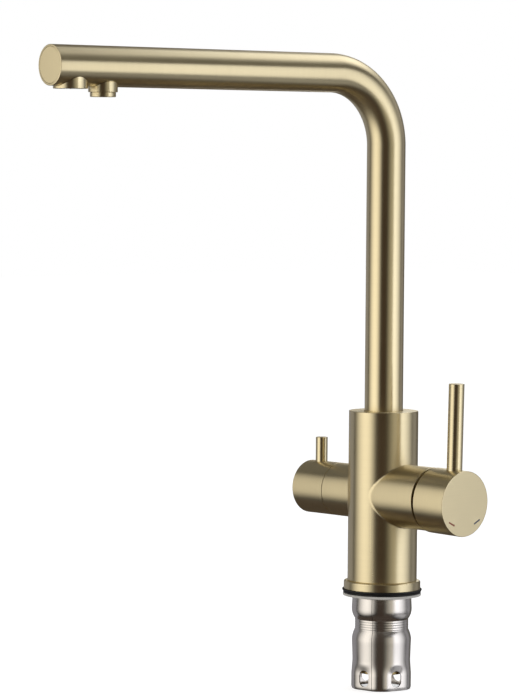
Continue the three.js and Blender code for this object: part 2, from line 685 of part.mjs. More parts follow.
function aeratorHousing() {
  const rim = -AERATOR_DROP;
  const step = -AERATOR_SOCKET_DROP - FIT_GAP / 2;
  const top = -AERATOR_SOCKET_DROP + AERATOR_THREAD_LENGTH;
  const bore = AERATOR_THREAD_RADIUS - AERATOR_WALL;
  return underSpout(turnedRing([
    [bore - AERATOR_LIP, rim], [AERATOR_SLEEVE_RADIUS, rim], [AERATOR_SLEEVE_RADIUS, step],
    [AERATOR_THREAD_RADIUS, step], [AERATOR_THREAD_RADIUS, top], [bore, top],
    [bore, rim + AERATOR_LIP], [bore - AERATOR_LIP, rim + AERATOR_LIP],
  ], '+z', TUBE_FACETS), AERATOR_REACH);
}

function aeratorInsert() {
  const radius = AERATOR_THREAD_RADIUS - AERATOR_WALL - FIT_GAP;
  const low = -AERATOR_DROP + AERATOR_LIP + FIT_GAP;
  const high = -AERATOR_SOCKET_DROP + AERATOR_THREAD_LENGTH;
  return underSpout(sievePlate(radius, low, high), AERATOR_REACH);
}

function aeratorWasher() {
  const low = -AERATOR_SOCKET_DROP + AERATOR_THREAD_LENGTH + FIT_GAP;
  const inner = AERATOR_THREAD_RADIUS - LEDGE_WIDTH;
  return underSpout(ring(inner, AERATOR_THREAD_RADIUS, low, low + AERATOR_WASHER_THICKNESS, '+z', MEDIUM),
    AERATOR_REACH);
}

function spoutEndPlug() {
  return disc(SPOUT_BORE - FIT_GAP, SPOUT_REACH - END_PLUG_LENGTH, SPOUT_REACH, '-y', TUBE_FACETS)
    .translate([0, 0, SPOUT_AXIS_HEIGHT]);
}

function filterWaterTube() {
  const elbow = { radius: FILTER_TUBE_ELBOW, end: SPOUT_AXIS_HEIGHT - filterTubeEndDrop() };
  const line = new SpoutLine(SOCKET_FLOOR - FILTER_TUBE_DEPTH, FILTER_OUTLET_REACH, elbow);
  return pipe(line, FILTER_TUBE_RADIUS, FILTER_TUBE_RADIUS - FILTER_TUBE_WALL, COARSE);
}

function spoutBaseBush() {
  const foot = SOCKET_FLOOR + BUSH_FOOT_GAP;
  const shoulder = TUBE_FOOT - FIT_GAP;
  const top = TUBE_FOOT + BUSH_STUB;
  const sealFloor = SPOUT_RADIUS - SEAL_GROOVE_DEPTH;
  const lockFloor = SPOUT_RADIUS - LOCK_GROOVE_DEPTH;
  const groove = (rise, width, floor) => {
    const middle = SOCKET_FLOOR + rise;
    const [low, high] = [middle - width / 2, middle + width / 2];
    return [[SPOUT_RADIUS, low], [floor, low], [floor, high], [SPOUT_RADIUS, high]];
  };
  return turnedRing([
    [BUSH_BORE, foot], [SPOUT_RADIUS, foot],
    ...groove(SEAL_GROOVE_LOW, SEAL_GROOVE_WIDTH, sealFloor),
    ...groove(LOCK_GROOVE_RISE, LOCK_GROOVE_WIDTH, lockFloor),
    ...groove(SEAL_GROOVE_HIGH, SEAL_GROOVE_WIDTH, sealFloor),
    [SPOUT_RADIUS, shoulder], [SPOUT_BORE - FIT_GAP, shoulder], [SPOUT_BORE - FIT_GAP, top], [BUSH_BORE, top],
  ], '+z', TUBE_FACETS);
}

function sealRing(middleRadius, section, height) {
  return solid(new THREE.TorusGeometry(middleRadius, section, SEAL_SIDES, MEDIUM).translate(0, 0, height));
}

function spoutSeal(rise) {
  const floor = SPOUT_RADIUS - SEAL_GROOVE_DEPTH;
  return sealRing((floor + SPOUT_RADIUS + RUNNING_GAP) / 2, SEAL_SECTION, SOCKET_FLOOR + rise);
}

function filterTubeSeal() {
  const middle = FILTER_TUBE_RADIUS + FIT_GAP + TUBE_SEAL_GROOVE_WIDTH / 2;
  return sealRing(middle, TUBE_SEAL_SECTION, SOCKET_FLOOR - TUBE_SEAL_GROOVE_DEPTH / 2);
}

function spoutSlideRing() {
  const inner = SPOUT_RADIUS + RUNNING_GAP / 2;
  const outer = SPOUT_RADIUS + SLIDE_RING_WALL;
  const high = BODY_TOP - SLIDE_RING_DEPTH;
  const split = block([2 * outer, SLIDE_RING_SPLIT, 2 * SLIDE_RING_HEIGHT], [outer, 0, high]);
  return ring(inner, outer, high - SLIDE_RING_HEIGHT, high, '+z', TUBE_FACETS).subtract(split);
}

// A hexagon socket in the outer end of a grub screw whose axis is +Z before it is placed.
function grubScrew(radius, length) {
  const socket = disc(radius / 2, length / 2, length + CUT_OVERRUN, '+z', HEXAGON);
  return disc(radius, 0, length, '+z', COARSE).subtract(socket);
}

function spoutRetainingScrew() {
  const tip = SPOUT_RADIUS - LOCK_GROOVE_DEPTH + RUNNING_GAP;
  const length = BODY_RADIUS - LOCK_SCREW_RECESS - tip;
  return grubScrew(LOCK_SCREW_RADIUS, length)
    .rotate([-90, 0, 0])
    .translate([0, tip, SOCKET_FLOOR + LOCK_GROOVE_RISE]);
}

// ---- Mixer cartridge: its axis is +X and its pieces are raised to the branch's height ----

function cartridgePorts() {
  const [hot, cold] = inletPorts();
  return [[hot[1], -PORT_DROP], [cold[1], -PORT_DROP], [0, MIXED_PORT_RISE]];
}

function cutPorts(part, from, to) {
  let cut = part;
  for (const [y, z] of cartridgePorts()) {
    cut = cut.subtract(rod(WATERWAY_RADIUS, [from - CUT_OVERRUN, y, z], [to, y, z]));
  }
  return cut;
}

function cartridgeSeal() {
  const from = CARTRIDGE_SEAT + FIT_GAP / 2;
  const to = from + CARTRIDGE_SEAL_THICKNESS;
  const seal = disc(CARTRIDGE_RADIUS - CARTRIDGE_SEAL_INSET, from, to, '+x', MEDIUM);
  return cutPorts(seal, from, to + CUT_OVERRUN).translate([0, 0, BRANCH_HEIGHT]);
}

function cartridgeHousing() {
  const to = cartridgeTop();
  const from = to - CARTRIDGE_LENGTH;
  const chamber = to - ROTOR_DEPTH - FIT_GAP;
  const bore = ROTOR_RADIUS + RUNNING_GAP;
  const shell = disc(CARTRIDGE_RADIUS, from, to, '+x', TUBE_FACETS)
    .subtract(disc(bore, chamber, to + CUT_OVERRUN, '+x', TUBE_FACETS));
  return cutPorts(shell, from, chamber + CUT_OVERRUN / 2).translate([0, 0, BRANCH_HEIGHT]);
}

function cartridgeRotor() {
  const from = cartridgeTop() - ROTOR_DEPTH;
  const swing = radians(HANDLE_TILT + HANDLE_TRAVEL);
  const innerSwing = Math.hypot(STEM_INNER_REACH, STEM_SIDE / 2) + RUNNING_GAP;
  const outerSwing = (ROTOR_REACH - PIVOT_REACH) * Math.tan(swing) + STEM_SIDE / 2 / Math.cos(swing);
  const halfHeight = Math.max(innerSwing * Math.sin(swing + Math.atan2(STEM_SIDE / 2, STEM_INNER_REACH)),
    outerSwing) + RUNNING_GAP;
  const slotStart = PIVOT_REACH - innerSwing;
  const slotDepth = ROTOR_REACH - slotStart;
  const slot = block([2 * slotDepth, STEM_SIDE + 2 * RUNNING_GAP, 2 * halfHeight],
    [slotStart + slotDepth, 0, 0]);
  const pinHole = rod(PIVOT_PIN_RADIUS + RUNNING_GAP, [PIVOT_REACH, -ROTOR_RADIUS - CUT_OVERRUN, 0],
    [PIVOT_REACH, ROTOR_RADIUS + CUT_OVERRUN, 0]);
  return disc(ROTOR_RADIUS, from, ROTOR_REACH, '+x', TUBE_FACETS)
    .subtract(slot).subtract(pinHole).translate([0, 0, BRANCH_HEIGHT]);
}

function cartridgePivotPin() {
  const half = ROTOR_RADIUS - PIVOT_PIN_RECESS;
  return rod(PIVOT_PIN_RADIUS, [PIVOT_REACH, -half, 0], [PIVOT_REACH, half, 0])
    .translate([0, 0, BRANCH_HEIGHT]);
}

function cartridgeNut() {
  const from = cartridgeTop() + FIT_GAP;
  const to = from + CARTRIDGE_NUT_LENGTH;
  let nut = ring(ROTOR_RADIUS + 2 * RUNNING_GAP, CARTRIDGE_NUT_RADIUS, from, to, '+x', TUBE_FACETS);
  for (let i = 0; i < NUT_SLOTS; i++) {
    const slot = block([2 * NUT_SLOT_DEPTH, NUT_SLOT_WIDTH, CARTRIDGE_NUT_RADIUS / 2],
      [to, 0, CARTRIDGE_NUT_RADIUS - NUT_SLOT_DEPTH / 2]);
    nut = nut.subtract(slot.rotate([i * 360 / NUT_SLOTS, 0, 0]));
  }
  return nut.translate([0, 0, BRANCH_HEIGHT]);
}

// ---- Mixer handle: in a group whose origin is the pivot, tilted a little outwards ----

function cartridgeStem() {
  const length = STEM_INNER_REACH + STEM_OUTER_REACH;
  const bar = block([length, STEM_SIDE, STEM_SIDE], [length / 2 - STEM_INNER_REACH, 0, 0]);
  return bar.subtract(rod(PIVOT_PIN_RADIUS + RUNNING_GAP, [0, -STEM_SIDE, 0], [0, STEM_SIDE, 0]));
}

function markSolid(side, gap, depth) {
  const size = [depth * 2, MARK_LENGTH + 2 * gap, MARK_WIDTH + 2 * gap];
  const geometry = new THREE.BoxGeometry(...size).rotateX(side * radians(MARK_SLOPE));
  geometry.translate(CAP_END - PIVOT_REACH, side * MARK_SPREAD, -MARK_DROP);
  return solid(geometry);
}

function mixerHandleCap() {
  const [start, end] = [CAP_START - PIVOT_REACH, CAP_END - PIVOT_REACH];
  const floor = start + CAP_CAVITY_DEPTH;
  const lever = LEVER_REACH - PIVOT_REACH;
  const screw = MIXER_GRUB_REACH - PIVOT_REACH;
  let cap = turned([
    [CAP_RADIUS, start], [CAP_RADIUS, end - CAP_EDGE], [CAP_RADIUS - CAP_EDGE, end],
  ], '+x');
  cap = cap.subtract(disc(CAP_RADIUS - CAP_WALL, start - CUT_OVERRUN, floor, '+x'));
  const boreEnd = STEM_OUTER_REACH + CUT_OVERRUN;
  cap = cap.subtract(disc(STEM_BORE_RADIUS, floor - CUT_OVERRUN, boreEnd, '+x', MEDIUM));
  cap = cap.subtract(rod(LEVER_RADIUS + FIT_GAP / 2, [lever, 0, CAP_RADIUS - LEVER_SEAT_DEPTH - FIT_GAP],
    [lever, 0, CAP_RADIUS + CUT_OVERRUN], MEDIUM));
  cap = cap.subtract(rod(GRUB_RADIUS + FIT_GAP, [screw, 0, -STEM_SIDE / 2],
    [screw, 0, -CAP_RADIUS - CUT_OVERRUN]));
  for (const side of [-1, 1]) cap = cap.subtract(markSolid(side, INLAY_GAP, MARK_DEPTH + INLAY_GAP));
  return cap;
}

function faceMark(side) {
  const thickness = 2 * MARK_DEPTH;
  const wide = 2 * CAP_RADIUS;
  const end = CAP_END - PIVOT_REACH;
  const behindFace = block([thickness, wide, wide], [end - thickness / 2, 0, 0]);
  return markSolid(side, 0, MARK_DEPTH).intersect(behindFace);
}

// A round pin lever that stands in a seat, with a fine chamfer at its top.
function leverPin(radius, foot, top) {
  return turned([[radius, foot], [radius, top - LEVER_EDGE], [radius - LEVER_EDGE, top]], '+z', MEDIUM);
}

function mixerLeverPin() {
  return leverPin(LEVER_RADIUS, CAP_RADIUS - LEVER_SEAT_DEPTH, LEVER_TOP)
    .translate([LEVER_REACH - PIVOT_REACH, 0, 0]);
}

function mixerGrubScrew() {
  return grubScrew(GRUB_RADIUS, GRUB_LENGTH)
    .rotate([180, 0, 0])
    .translate([MIXER_GRUB_REACH - PIVOT_REACH, 0, -STEM_SIDE / 2 - FIT_GAP]);
}

// ---- Filter valve: its axis is -X and its pieces are raised to the branch's height ----

function filterValveBody() {
  const start = VALVE_BORE_START + FIT_GAP;
  const sealRoom = 2 * VALVE_SEAL_SECTION + FIT_GAP;
  const hexStart = VALVE_BORE_END + sealRoom;
  const hexEnd = hexStart + VALVE_HEX_LENGTH;
  const neckEnd = hexEnd + VALVE_NECK_LENGTH;
  const nose = VALVE_BORE_RADIUS - FIT_GAP;
  let valve = disc(nose, start, hexEnd, '-x', MEDIUM)
    .add(disc(VALVE_HEX_RADIUS, hexStart, hexEnd, '-x', HEXAGON))
    .add(disc(VALVE_NECK_RADIUS, hexEnd - CUT_OVERRUN, neckEnd, '-x', MEDIUM));
  const cavityEnd = start + VALVE_CAVITY_DEPTH;
  valve = valve.subtract(disc(VALVE_CAVITY_RADIUS, start - CUT_OVERRUN, cavityEnd, '-x', MEDIUM));
  valve = valve.subtract(disc(SPINDLE_RADIUS + RUNNING_GAP, cavityEnd - CUT_OVERRUN, neckEnd + CUT_OVERRUN,
    '-x', MEDIUM));
  valve = valve.subtract(rod(GALLERY_RADIUS, [-VALVE_WINDOW_REACH, 0, -VALVE_BORE_RADIUS],
    [-VALVE_WINDOW_REACH, 0, VALVE_BORE_RADIUS]));
  return valve.translate([0, 0, BRANCH_HEIGHT]);
}

function filterValveSeal() {
  const middle = VALVE_BORE_RADIUS + VALVE_SEAL_SECTION + FIT_GAP / 2;
  const along = -VALVE_BORE_END - VALVE_SEAL_SECTION - FIT_GAP / 2;
  return sealRing(middle, VALVE_SEAL_SECTION, 0).rotate([0, 90, 0]).translate([along, 0, BRANCH_HEIGHT]);
}

function filterValveSpindle() {
  const discEnd = VALVE_BORE_START + FIT_GAP + VALVE_CAVITY_DEPTH - RUNNING_GAP;
  const discStart = discEnd - SPINDLE_DISC_THICKNESS;
  const spindle = turned([
    [SPINDLE_DISC_RADIUS, discStart], [SPINDLE_DISC_RADIUS, discEnd],
    [SPINDLE_RADIUS, discEnd], [SPINDLE_RADIUS, SPINDLE_END],
  ], '-x', MEDIUM);
  const knobFloor = knobStart() + KNOB_CAVITY_DEPTH;
  const flat = block([2 * (SPINDLE_END - knobFloor), 2 * SPINDLE_RADIUS, 2 * SPINDLE_FLAT],
    [-SPINDLE_END, 0, -SPINDLE_RADIUS]);
  return spindle.subtract(flat).translate([0, 0, BRANCH_HEIGHT]);
}

function knobStart() {
  return FILTER_BRANCH_REACH + KNOB_GAP;
}

function filterKnob() {
  const start = knobStart();
  const floor = start + KNOB_CAVITY_DEPTH;
  const screwDepth = SPINDLE_RADIUS - SPINDLE_FLAT;
  let knob = turned([
    [FILTER_BRANCH_RADIUS, start], [FILTER_BRANCH_RADIUS, KNOB_END - KNOB_EDGE],
    [FILTER_BRANCH_RADIUS - KNOB_EDGE, KNOB_END],
  ], '-x');
  knob = knob.subtract(disc(KNOB_CAVITY_RADIUS, start - CUT_OVERRUN, floor, '-x', TUBE_FACETS));
  const boreEnd = SPINDLE_END + FIT_GAP;
  knob = knob.subtract(disc(SPINDLE_RADIUS + FIT_GAP, floor - CUT_OVERRUN, boreEnd, '-x', MEDIUM));
  knob = knob.subtract(rod(SMALL_LEVER_RADIUS + FIT_GAP / 2,
    [-SMALL_LEVER_REACH, 0, FILTER_BRANCH_RADIUS - SMALL_LEVER_SEAT_DEPTH - FIT_GAP],
    [-SMALL_LEVER_REACH, 0, FILTER_BRANCH_RADIUS + CUT_OVERRUN], MEDIUM));
  knob = knob.subtract(rod(KNOB_GRUB_RADIUS + FIT_GAP, [-KNOB_GRUB_REACH, 0, -screwDepth],
    [-KNOB_GRUB_REACH, 0, -FILTER_BRANCH_RADIUS - CUT_OVERRUN]));
  return knob.translate([0, 0, BRANCH_HEIGHT]);
}

function filterLeverPin() {
  return leverPin(SMALL_LEVER_RADIUS, FILTER_BRANCH_RADIUS - SMALL_LEVER_SEAT_DEPTH, SMALL_LEVER_TOP)
    .translate([-SMALL_LEVER_REACH, 0, BRANCH_HEIGHT]);
}

function filterGrubScrew() {
  const tip = SPINDLE_RADIUS - SPINDLE_FLAT + FIT_GAP;
  return grubScrew(KNOB_GRUB_RADIUS, GRUB_LENGTH)
    .rotate([180, 0, 0])
    .translate([-KNOB_GRUB_REACH, 0, BRANCH_HEIGHT - tip]);
}

// ---- Assembly ----

const tap = new THREE.Group();
tap.add(
  piece('body', body(), BRUSHED_BRASS),
  piece('base_ring', baseRing(), BRUSHED_BRASS),
  piece('base_gasket', baseGasket(), BLACK_RUBBER),
  piece('clamp_washer', clampWasher(), PALE_FIBRE),
  piece('threaded_shank', threadedShank(), RAW_BRASS),
  piece('sleeve_nut', sleeveNut(), STAINLESS),
  piece('spout_slide_ring', spoutSlideRing(), GREY_PLASTIC),
  piece('spout_retaining_screw', spoutRetainingScrew(), STEEL),
  piece('filter_tube_seal', filterTubeSeal(), BLACK_RUBBER),
);

const spout = new THREE.Group();
spout.rotation.z = radians(SPOUT_SWIVEL);
spout.add(
  piece('spout_tube', spoutTube(), BRUSHED_BRASS),
  piece('spout_end_plug', spoutEndPlug(), BRUSHED_BRASS),
  piece('filter_outlet_boss', filterOutletBoss(), BRUSHED_BRASS),
  piece('filter_stream_former', filterStreamFormer(), WHITE_PLASTIC),
  piece('aerator_socket', aeratorSocket(), BRUSHED_BRASS),
  piece('aerator_housing', aeratorHousing(), BRUSHED_BRASS),
  piece('aerator_insert', aeratorInsert(), WHITE_PLASTIC),
  piece('aerator_washer', aeratorWasher(), BLACK_RUBBER),
  piece('filter_water_tube', filterWaterTube(), WHITE_PLASTIC),
  piece('spout_base_bush', spoutBaseBush(), RAW_BRASS),
  piece('spout_seal_lower', spoutSeal(SEAL_GROOVE_LOW), BLACK_RUBBER),
  piece('spout_seal_upper', spoutSeal(SEAL_GROOVE_HIGH), BLACK_RUBBER),
);
tap.add(spout);

tap.add(
  piece('cartridge_seal', cartridgeSeal(), BLACK_RUBBER),
  piece('cartridge_housing', cartridgeHousing(), GREY_PLASTIC),
  piece('cartridge_rotor', cartridgeRotor(), WHITE_PLASTIC),
  piece('cartridge_pivot_pin', cartridgePivotPin(), STEEL),
  piece('cartridge_nut', cartridgeNut(), RAW_BRASS),
);

const mixerHandle = new THREE.Group();
mixerHandle.position.set(PIVOT_REACH, 0, BRANCH_HEIGHT);
mixerHandle.rotation.y = radians(HANDLE_TILT);
mixerHandle.add(
  piece('cartridge_stem', cartridgeStem(), STEEL),
  piece('mixer_handle_cap', mixerHandleCap(), BRUSHED_BRASS),
  piece('mixer_lever_pin', mixerLeverPin(), BRUSHED_BRASS),
  piece('mixer_grub_screw', mixerGrubScrew(), STEEL),
  piece('hot_mark', faceMark(-1), RED_PAINT),
  piece('cold_mark', faceMark(1), BLUE_PAINT),
);
tap.add(mixerHandle);

tap.add(
  piece('filter_valve_body', filterValveBody(), RAW_BRASS),
  piece('filter_valve_seal', filterValveSeal(), BLACK_RUBBER),
  piece('filter_valve_spindle', filterValveSpindle(), STEEL),
  piece('filter_knob', filterKnob(), BRUSHED_BRASS),
  piece('filter_lever_pin', filterLeverPin(), BRUSHED_BRASS),
  piece('filter_grub_screw', filterGrubScrew(), STEEL),
);

export default tap;
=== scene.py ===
"""A three way kitchen tap in satin brushed brass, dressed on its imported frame.

Everything is in metres in the frame's own axes: +Z up, the mixer handle on +X, the filter handle on -X
and the user on -Y. Turned pieces are spun about their own axis and then put in place.
"""

import json
import math

import bmesh
import bpy
import numpy as np
from mathutils import Matrix, Vector


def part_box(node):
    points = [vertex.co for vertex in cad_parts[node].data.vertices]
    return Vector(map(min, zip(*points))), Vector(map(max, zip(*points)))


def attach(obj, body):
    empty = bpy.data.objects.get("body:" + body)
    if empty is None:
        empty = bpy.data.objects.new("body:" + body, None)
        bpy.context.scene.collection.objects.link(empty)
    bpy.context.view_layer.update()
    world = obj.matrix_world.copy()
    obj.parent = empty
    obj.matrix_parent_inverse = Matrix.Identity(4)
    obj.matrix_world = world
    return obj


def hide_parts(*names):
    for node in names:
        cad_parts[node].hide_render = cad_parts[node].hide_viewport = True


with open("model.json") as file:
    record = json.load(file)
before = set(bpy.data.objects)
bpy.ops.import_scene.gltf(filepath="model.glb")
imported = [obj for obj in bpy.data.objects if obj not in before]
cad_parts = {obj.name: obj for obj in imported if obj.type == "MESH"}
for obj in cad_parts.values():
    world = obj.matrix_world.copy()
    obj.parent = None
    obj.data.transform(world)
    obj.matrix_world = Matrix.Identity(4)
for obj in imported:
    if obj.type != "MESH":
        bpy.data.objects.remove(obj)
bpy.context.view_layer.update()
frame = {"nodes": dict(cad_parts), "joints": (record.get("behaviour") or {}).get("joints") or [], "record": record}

bl_info = {
    "name": "Three way water tap",
    "version": (1, 0, 0),
    "blender": (4, 5, 0),
    "location": "View3D > Sidebar > Tap",
    "description": "Models a brushed brass kitchen tap on its packed frame",
    "category": "Object",
}

MM = 0.001

# Mesh fineness
FACETS = 192
SMALL_FACETS = 96
CORNER_STEPS = 5
BEND_STEPS = 72
WELD = 1e-6
SHARP_ANGLE = math.radians(32)
FLAT_SLOPE = 0.2
ON_SURFACE = 0.015 * 0.001
SLIVER_AREA = 0.02 * 0.001 ** 2

# Fits between pieces
FIT_GAP = 0.15 * MM
RUNNING_GAP = 0.3 * MM
OVERRUN = 1 * MM
FACE_RIM = 1.2 * MM


# ---- Places: where each turned piece's own axis lies ----

def box_span(node, axis):
    """Lowest and highest value of a CAD node along one axis."""
    low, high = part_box(node)
    return low[axis], high[axis]


def joint_place(name):
    """The point that a joint of the frame turns about."""
    joint = next(j for j in frame["joints"] if j["name"] == name)
    return Vector(joint["pos_m"])


BRANCH_HEIGHT = joint_place("mixer_temperature").z
PIVOT = joint_place("mixer_flow")
SPOUT_SWIVEL = math.radians(-5.3)
HANDLE_TILT = math.radians(1.2)
UPRIGHT = Matrix.Identity(4)
TO_RIGHT = Matrix.Rotation(math.radians(90), 4, "Y")
TO_LEFT = Matrix.Rotation(math.radians(-90), 4, "Y")
DOWN = Matrix.Rotation(math.radians(180), 4, "X")
AT_BRANCH = Matrix.Translation((0, 0, BRANCH_HEIGHT))
MIXER_SIDE = AT_BRANCH @ TO_RIGHT
FILTER_SIDE = AT_BRANCH @ TO_LEFT
TILTED = Matrix.Translation(PIVOT) @ Matrix.Rotation(HANDLE_TILT, 4, "Y") @ Matrix.Translation(-PIVOT)
SPOUT_PLACE = Matrix.Rotation(SPOUT_SWIVEL, 4, "Z")


# ---- Sizes and colours that a user would change ----

def length(name, description, millimetres):
    """A length property, given in millimetres."""
    return bpy.props.FloatProperty(
        name=name, description=description, default=millimetres * MM, min=0, subtype="DISTANCE",
        unit="LENGTH", precision=5,
    )


def colour(name, description, default):
    """A linear colour property."""
    return bpy.props.FloatVectorProperty(
        name=name, description=description, default=default, subtype="COLOR", size=3, min=0, max=1,
    )


class TapBodySizes(bpy.types.PropertyGroup):
    """Sizes of the turned body and its base."""

    radius: length("Body radius", "Radius of the upright body", 22.5)
    edge: length("Body edge", "Rounding of the body's top and bottom edges", 0.45)
    spigot_radius: length("Spigot radius", "Radius of the spigot inside the base ring", 19.6)
    mouth_radius: length("Mouth radius", "Bore that the spout stands in", 12.75)
    socket_floor: length("Socket floor", "Height of the floor of the spout's socket", 85.2)
    shank_socket: length("Shank socket", "Radius of the socket for the threaded shank", 16.2)
    shank_floor: length("Shank socket floor", "Height of the floor with the three inlet ports", 14.3)
    port_circle: length("Port circle", "Radius of the circle of the inlet ports", 8.4)
    port_radius: length("Port radius", "Radius of each inlet port", 4.2)
    mixer_branch: length("Mixer branch radius", "Radius of the branch on the mixer side", 20.44)
    filter_branch: length("Filter branch radius", "Radius of the branch on the filter side", 17.37)
    fillet: length("Branch fillet", "Fillet where a branch meets the body", 0.7)
    lock_height: length("Lock screw height", "Height of the screw that holds the spout", 98.5)


class TapSpoutSizes(bpy.types.PropertyGroup):
    """Sizes of the spout and its outlets."""

    radius: length("Tube radius", "Outer radius of the spout's tube", 12.45)
    wall: length("Tube wall", "Wall of the spout's tube", 1.25)
    bend: length("Bend radius", "Radius of the bend's middle line", 46.2)
    reach: length("Reach", "From the body's axis to the spout's tip", 260.2)
    filter_from_tip: length("Filter outlet", "From the tip to the filter outlet's axis", 14.87)
    filter_radius: length("Filter outlet radius", "Radius of the filter outlet's boss", 10.55)
    filter_drop: length("Filter outlet drop", "From the tube's axis to the filter outlet's rim", 13.9)
    aerator_from_tip: length("Aerator", "From the tip to the aerator's axis", 38.5)
    aerator_radius: length("Aerator socket radius", "Radius of the aerator's socket", 8.98)
    aerator_socket_drop: length("Aerator socket drop", "From the tube's axis to the socket's step", 15.6)
    aerator_sleeve: length("Aerator sleeve radius", "Radius of the sleeve screwed into the socket", 7.9)
    aerator_drop: length("Aerator drop", "From the tube's axis to the sleeve's rim", 18.5)


class TapHandleSizes(bpy.types.PropertyGroup):
    """Sizes of the two handles."""

    cap_radius: length("Cap radius", "Radius of the mixer handle's cap", 20.97)
    cap_start: length("Cap start", "From the body's axis to the cap's rim", 48.2)
    cap_end: length("Cap end", "From the body's axis to the cap's face", 73.85)
    cap_wall: length("Cap wall", "Wall of the cap round its hollow", 1.4)
    cap_hollow: length("Cap hollow", "Depth of the cap's hollow", 9.6)
    lever_radius: length("Lever radius", "Radius of the long lever", 4.98)
    lever_reach: length("Lever reach", "From the body's axis to the long lever", 63.9)
    lever_top: length("Lever top", "Top of the long lever over the branch's axis", 75.7)
    knob_end: length("Knob end", "From the body's axis to the filter knob's face", 67.7)
    knob_hollow: length("Knob hollow", "Depth of the knob's hollow", 10)
    small_lever_radius: length("Small lever radius", "Radius of the short lever", 3.94)
    small_lever_reach: length("Small lever reach", "From the body's axis to the short lever", 57.96)
    small_lever_top: length("Small lever top", "Top of the short lever over the branch's axis", 33.2)
    mark_length: length("Mark length", "Length of each coloured line", 5.8)
    mark_width: length("Mark width", "Width of each coloured line", 0.95)
    mark_spread: length("Mark spread", "Sideways place of each coloured line", 11.4)
    mark_drop: length("Mark drop", "Height of the coloured lines under the axis", 12)


class TapFinishes(bpy.types.PropertyGroup):
    """Colours of the finishes."""

    brass: colour("Brushed brass", "Satin champagne brass of the outside", (0.8, 0.685, 0.43))
    # Raw brass is partly its own duller colour and partly painted shade: it is set darker so that the shank's end
    # inside the nut looks shadowed.
    raw_brass: colour("Raw brass", "Turned brass inside", (0.46, 0.34, 0.15))
    stainless: colour("Stainless", "Drawn stainless tube of the sleeve nut", (0.76, 0.715, 0.665))
    steel: colour("Steel", "Screws and pins", (0.32, 0.33, 0.35))
    rubber: colour("Rubber", "Gasket and seals", (0.009, 0.009, 0.0095))
    fibre: colour("Fibre", "Clamp washer", (0.62, 0.6, 0.56))
    white_plastic: colour("White plastic", "Stream formers and the filter water tube", (0.74, 0.74, 0.7))
    grey_plastic: colour("Grey plastic", "Slide ring and cartridge housing", (0.2, 0.21, 0.225))
    red: colour("Hot mark", "Line for hot water", (0.3, 0.065, 0.035))
    blue: colour("Cold mark", "Line for cold water", (0.075, 0.09, 0.13))


def body_sizes():
    return bpy.context.scene.tap_body_sizes


def spout_sizes():
    return bpy.context.scene.tap_spout_sizes


def handle_sizes():
    return bpy.context.scene.tap_handle_sizes


def finishes():
    return bpy.context.scene.tap_finishes


# ---- Turning and cutting ----

def rounded(corners):
    """The outline through (radius, along, rounding) corners, each rounded corner as a curve."""
    points = []
    for i, (radius, along, rounding) in enumerate(corners):
        here = Vector((radius, along))
        if rounding == 0:
            points.append(here)
            continue
        before = here + (Vector(corners[i - 1][:2]) - here).normalized() * rounding
        after = here + (Vector(corners[i + 1][:2]) - here).normalized() * rounding
        for step in range(CORNER_STEPS + 1):
            t = step / CORNER_STEPS
            points.append((1 - t) ** 2 * before + 2 * t * (1 - t) * here + t * t * after)
    return points


def spun(outline, facets):
    """A bmesh of an outline spun about Z. The outline ends on the axis or where it starts."""
    bm = bmesh.new()
    verts = [bm.verts.new((radius, 0, along)) for radius, along in outline]
    edges = [bm.edges.new(pair) for pair in zip(verts, verts[1:])]
    bmesh.ops.spin(
        bm, geom=verts + edges, cent=(0, 0, 0), axis=(0, 0, 1), angle=2 * math.pi, steps=facets, use_merge=True,
    )
    bmesh.ops.remove_doubles(bm, verts=bm.verts, dist=WELD)
    bmesh.ops.recalc_face_normals(bm, faces=bm.faces)
    return bm


def made(name, bm, place=UPRIGHT):
    """An object of a bmesh, with its place in its mesh."""
    bm.transform(place)
    mesh = bpy.data.meshes.new(name)
    bm.to_mesh(mesh)
    bm.free()
    found = bpy.data.objects.new(name, mesh)
    bpy.context.scene.collection.objects.link(found)
    return found


def turned(name, corners, place=UPRIGHT, facets=FACETS):
    """A turned solid from its rounded corners."""
    return made(name, spun(rounded(corners), facets), place)


def rod(radius, start, end, place=UPRIGHT, facets=SMALL_FACETS):
    """A plain cutter along Z."""
    return turned("cutter", [(0, start, 0), (radius, start, 0), (radius, end, 0), (0, end, 0)], place, facets)


def combined(piece, others, operation):
    """The piece joined with the others or cut by them, which are used up."""
    for other in others:
        modifier = piece.modifiers.new(operation.lower(), "BOOLEAN")
        modifier.operation = operation
        modifier.solver = "EXACT"
        modifier.object = other
    bpy.context.view_layer.update()
    shaped = bpy.data.meshes.new_from_object(piece.evaluated_get(bpy.context.evaluated_depsgraph_get()))
    piece.modifiers.clear()
    piece.data = shaped
    for other in others:
        bpy.data.objects.remove(other)
    return piece


def cut(piece, *cutters):
    return combined(piece, cutters, "DIFFERENCE")


def joined(piece, *others):
    return combined(piece, others, "UNION")


# ---- Grain: where the brush lines run, and the exact surface normal ----

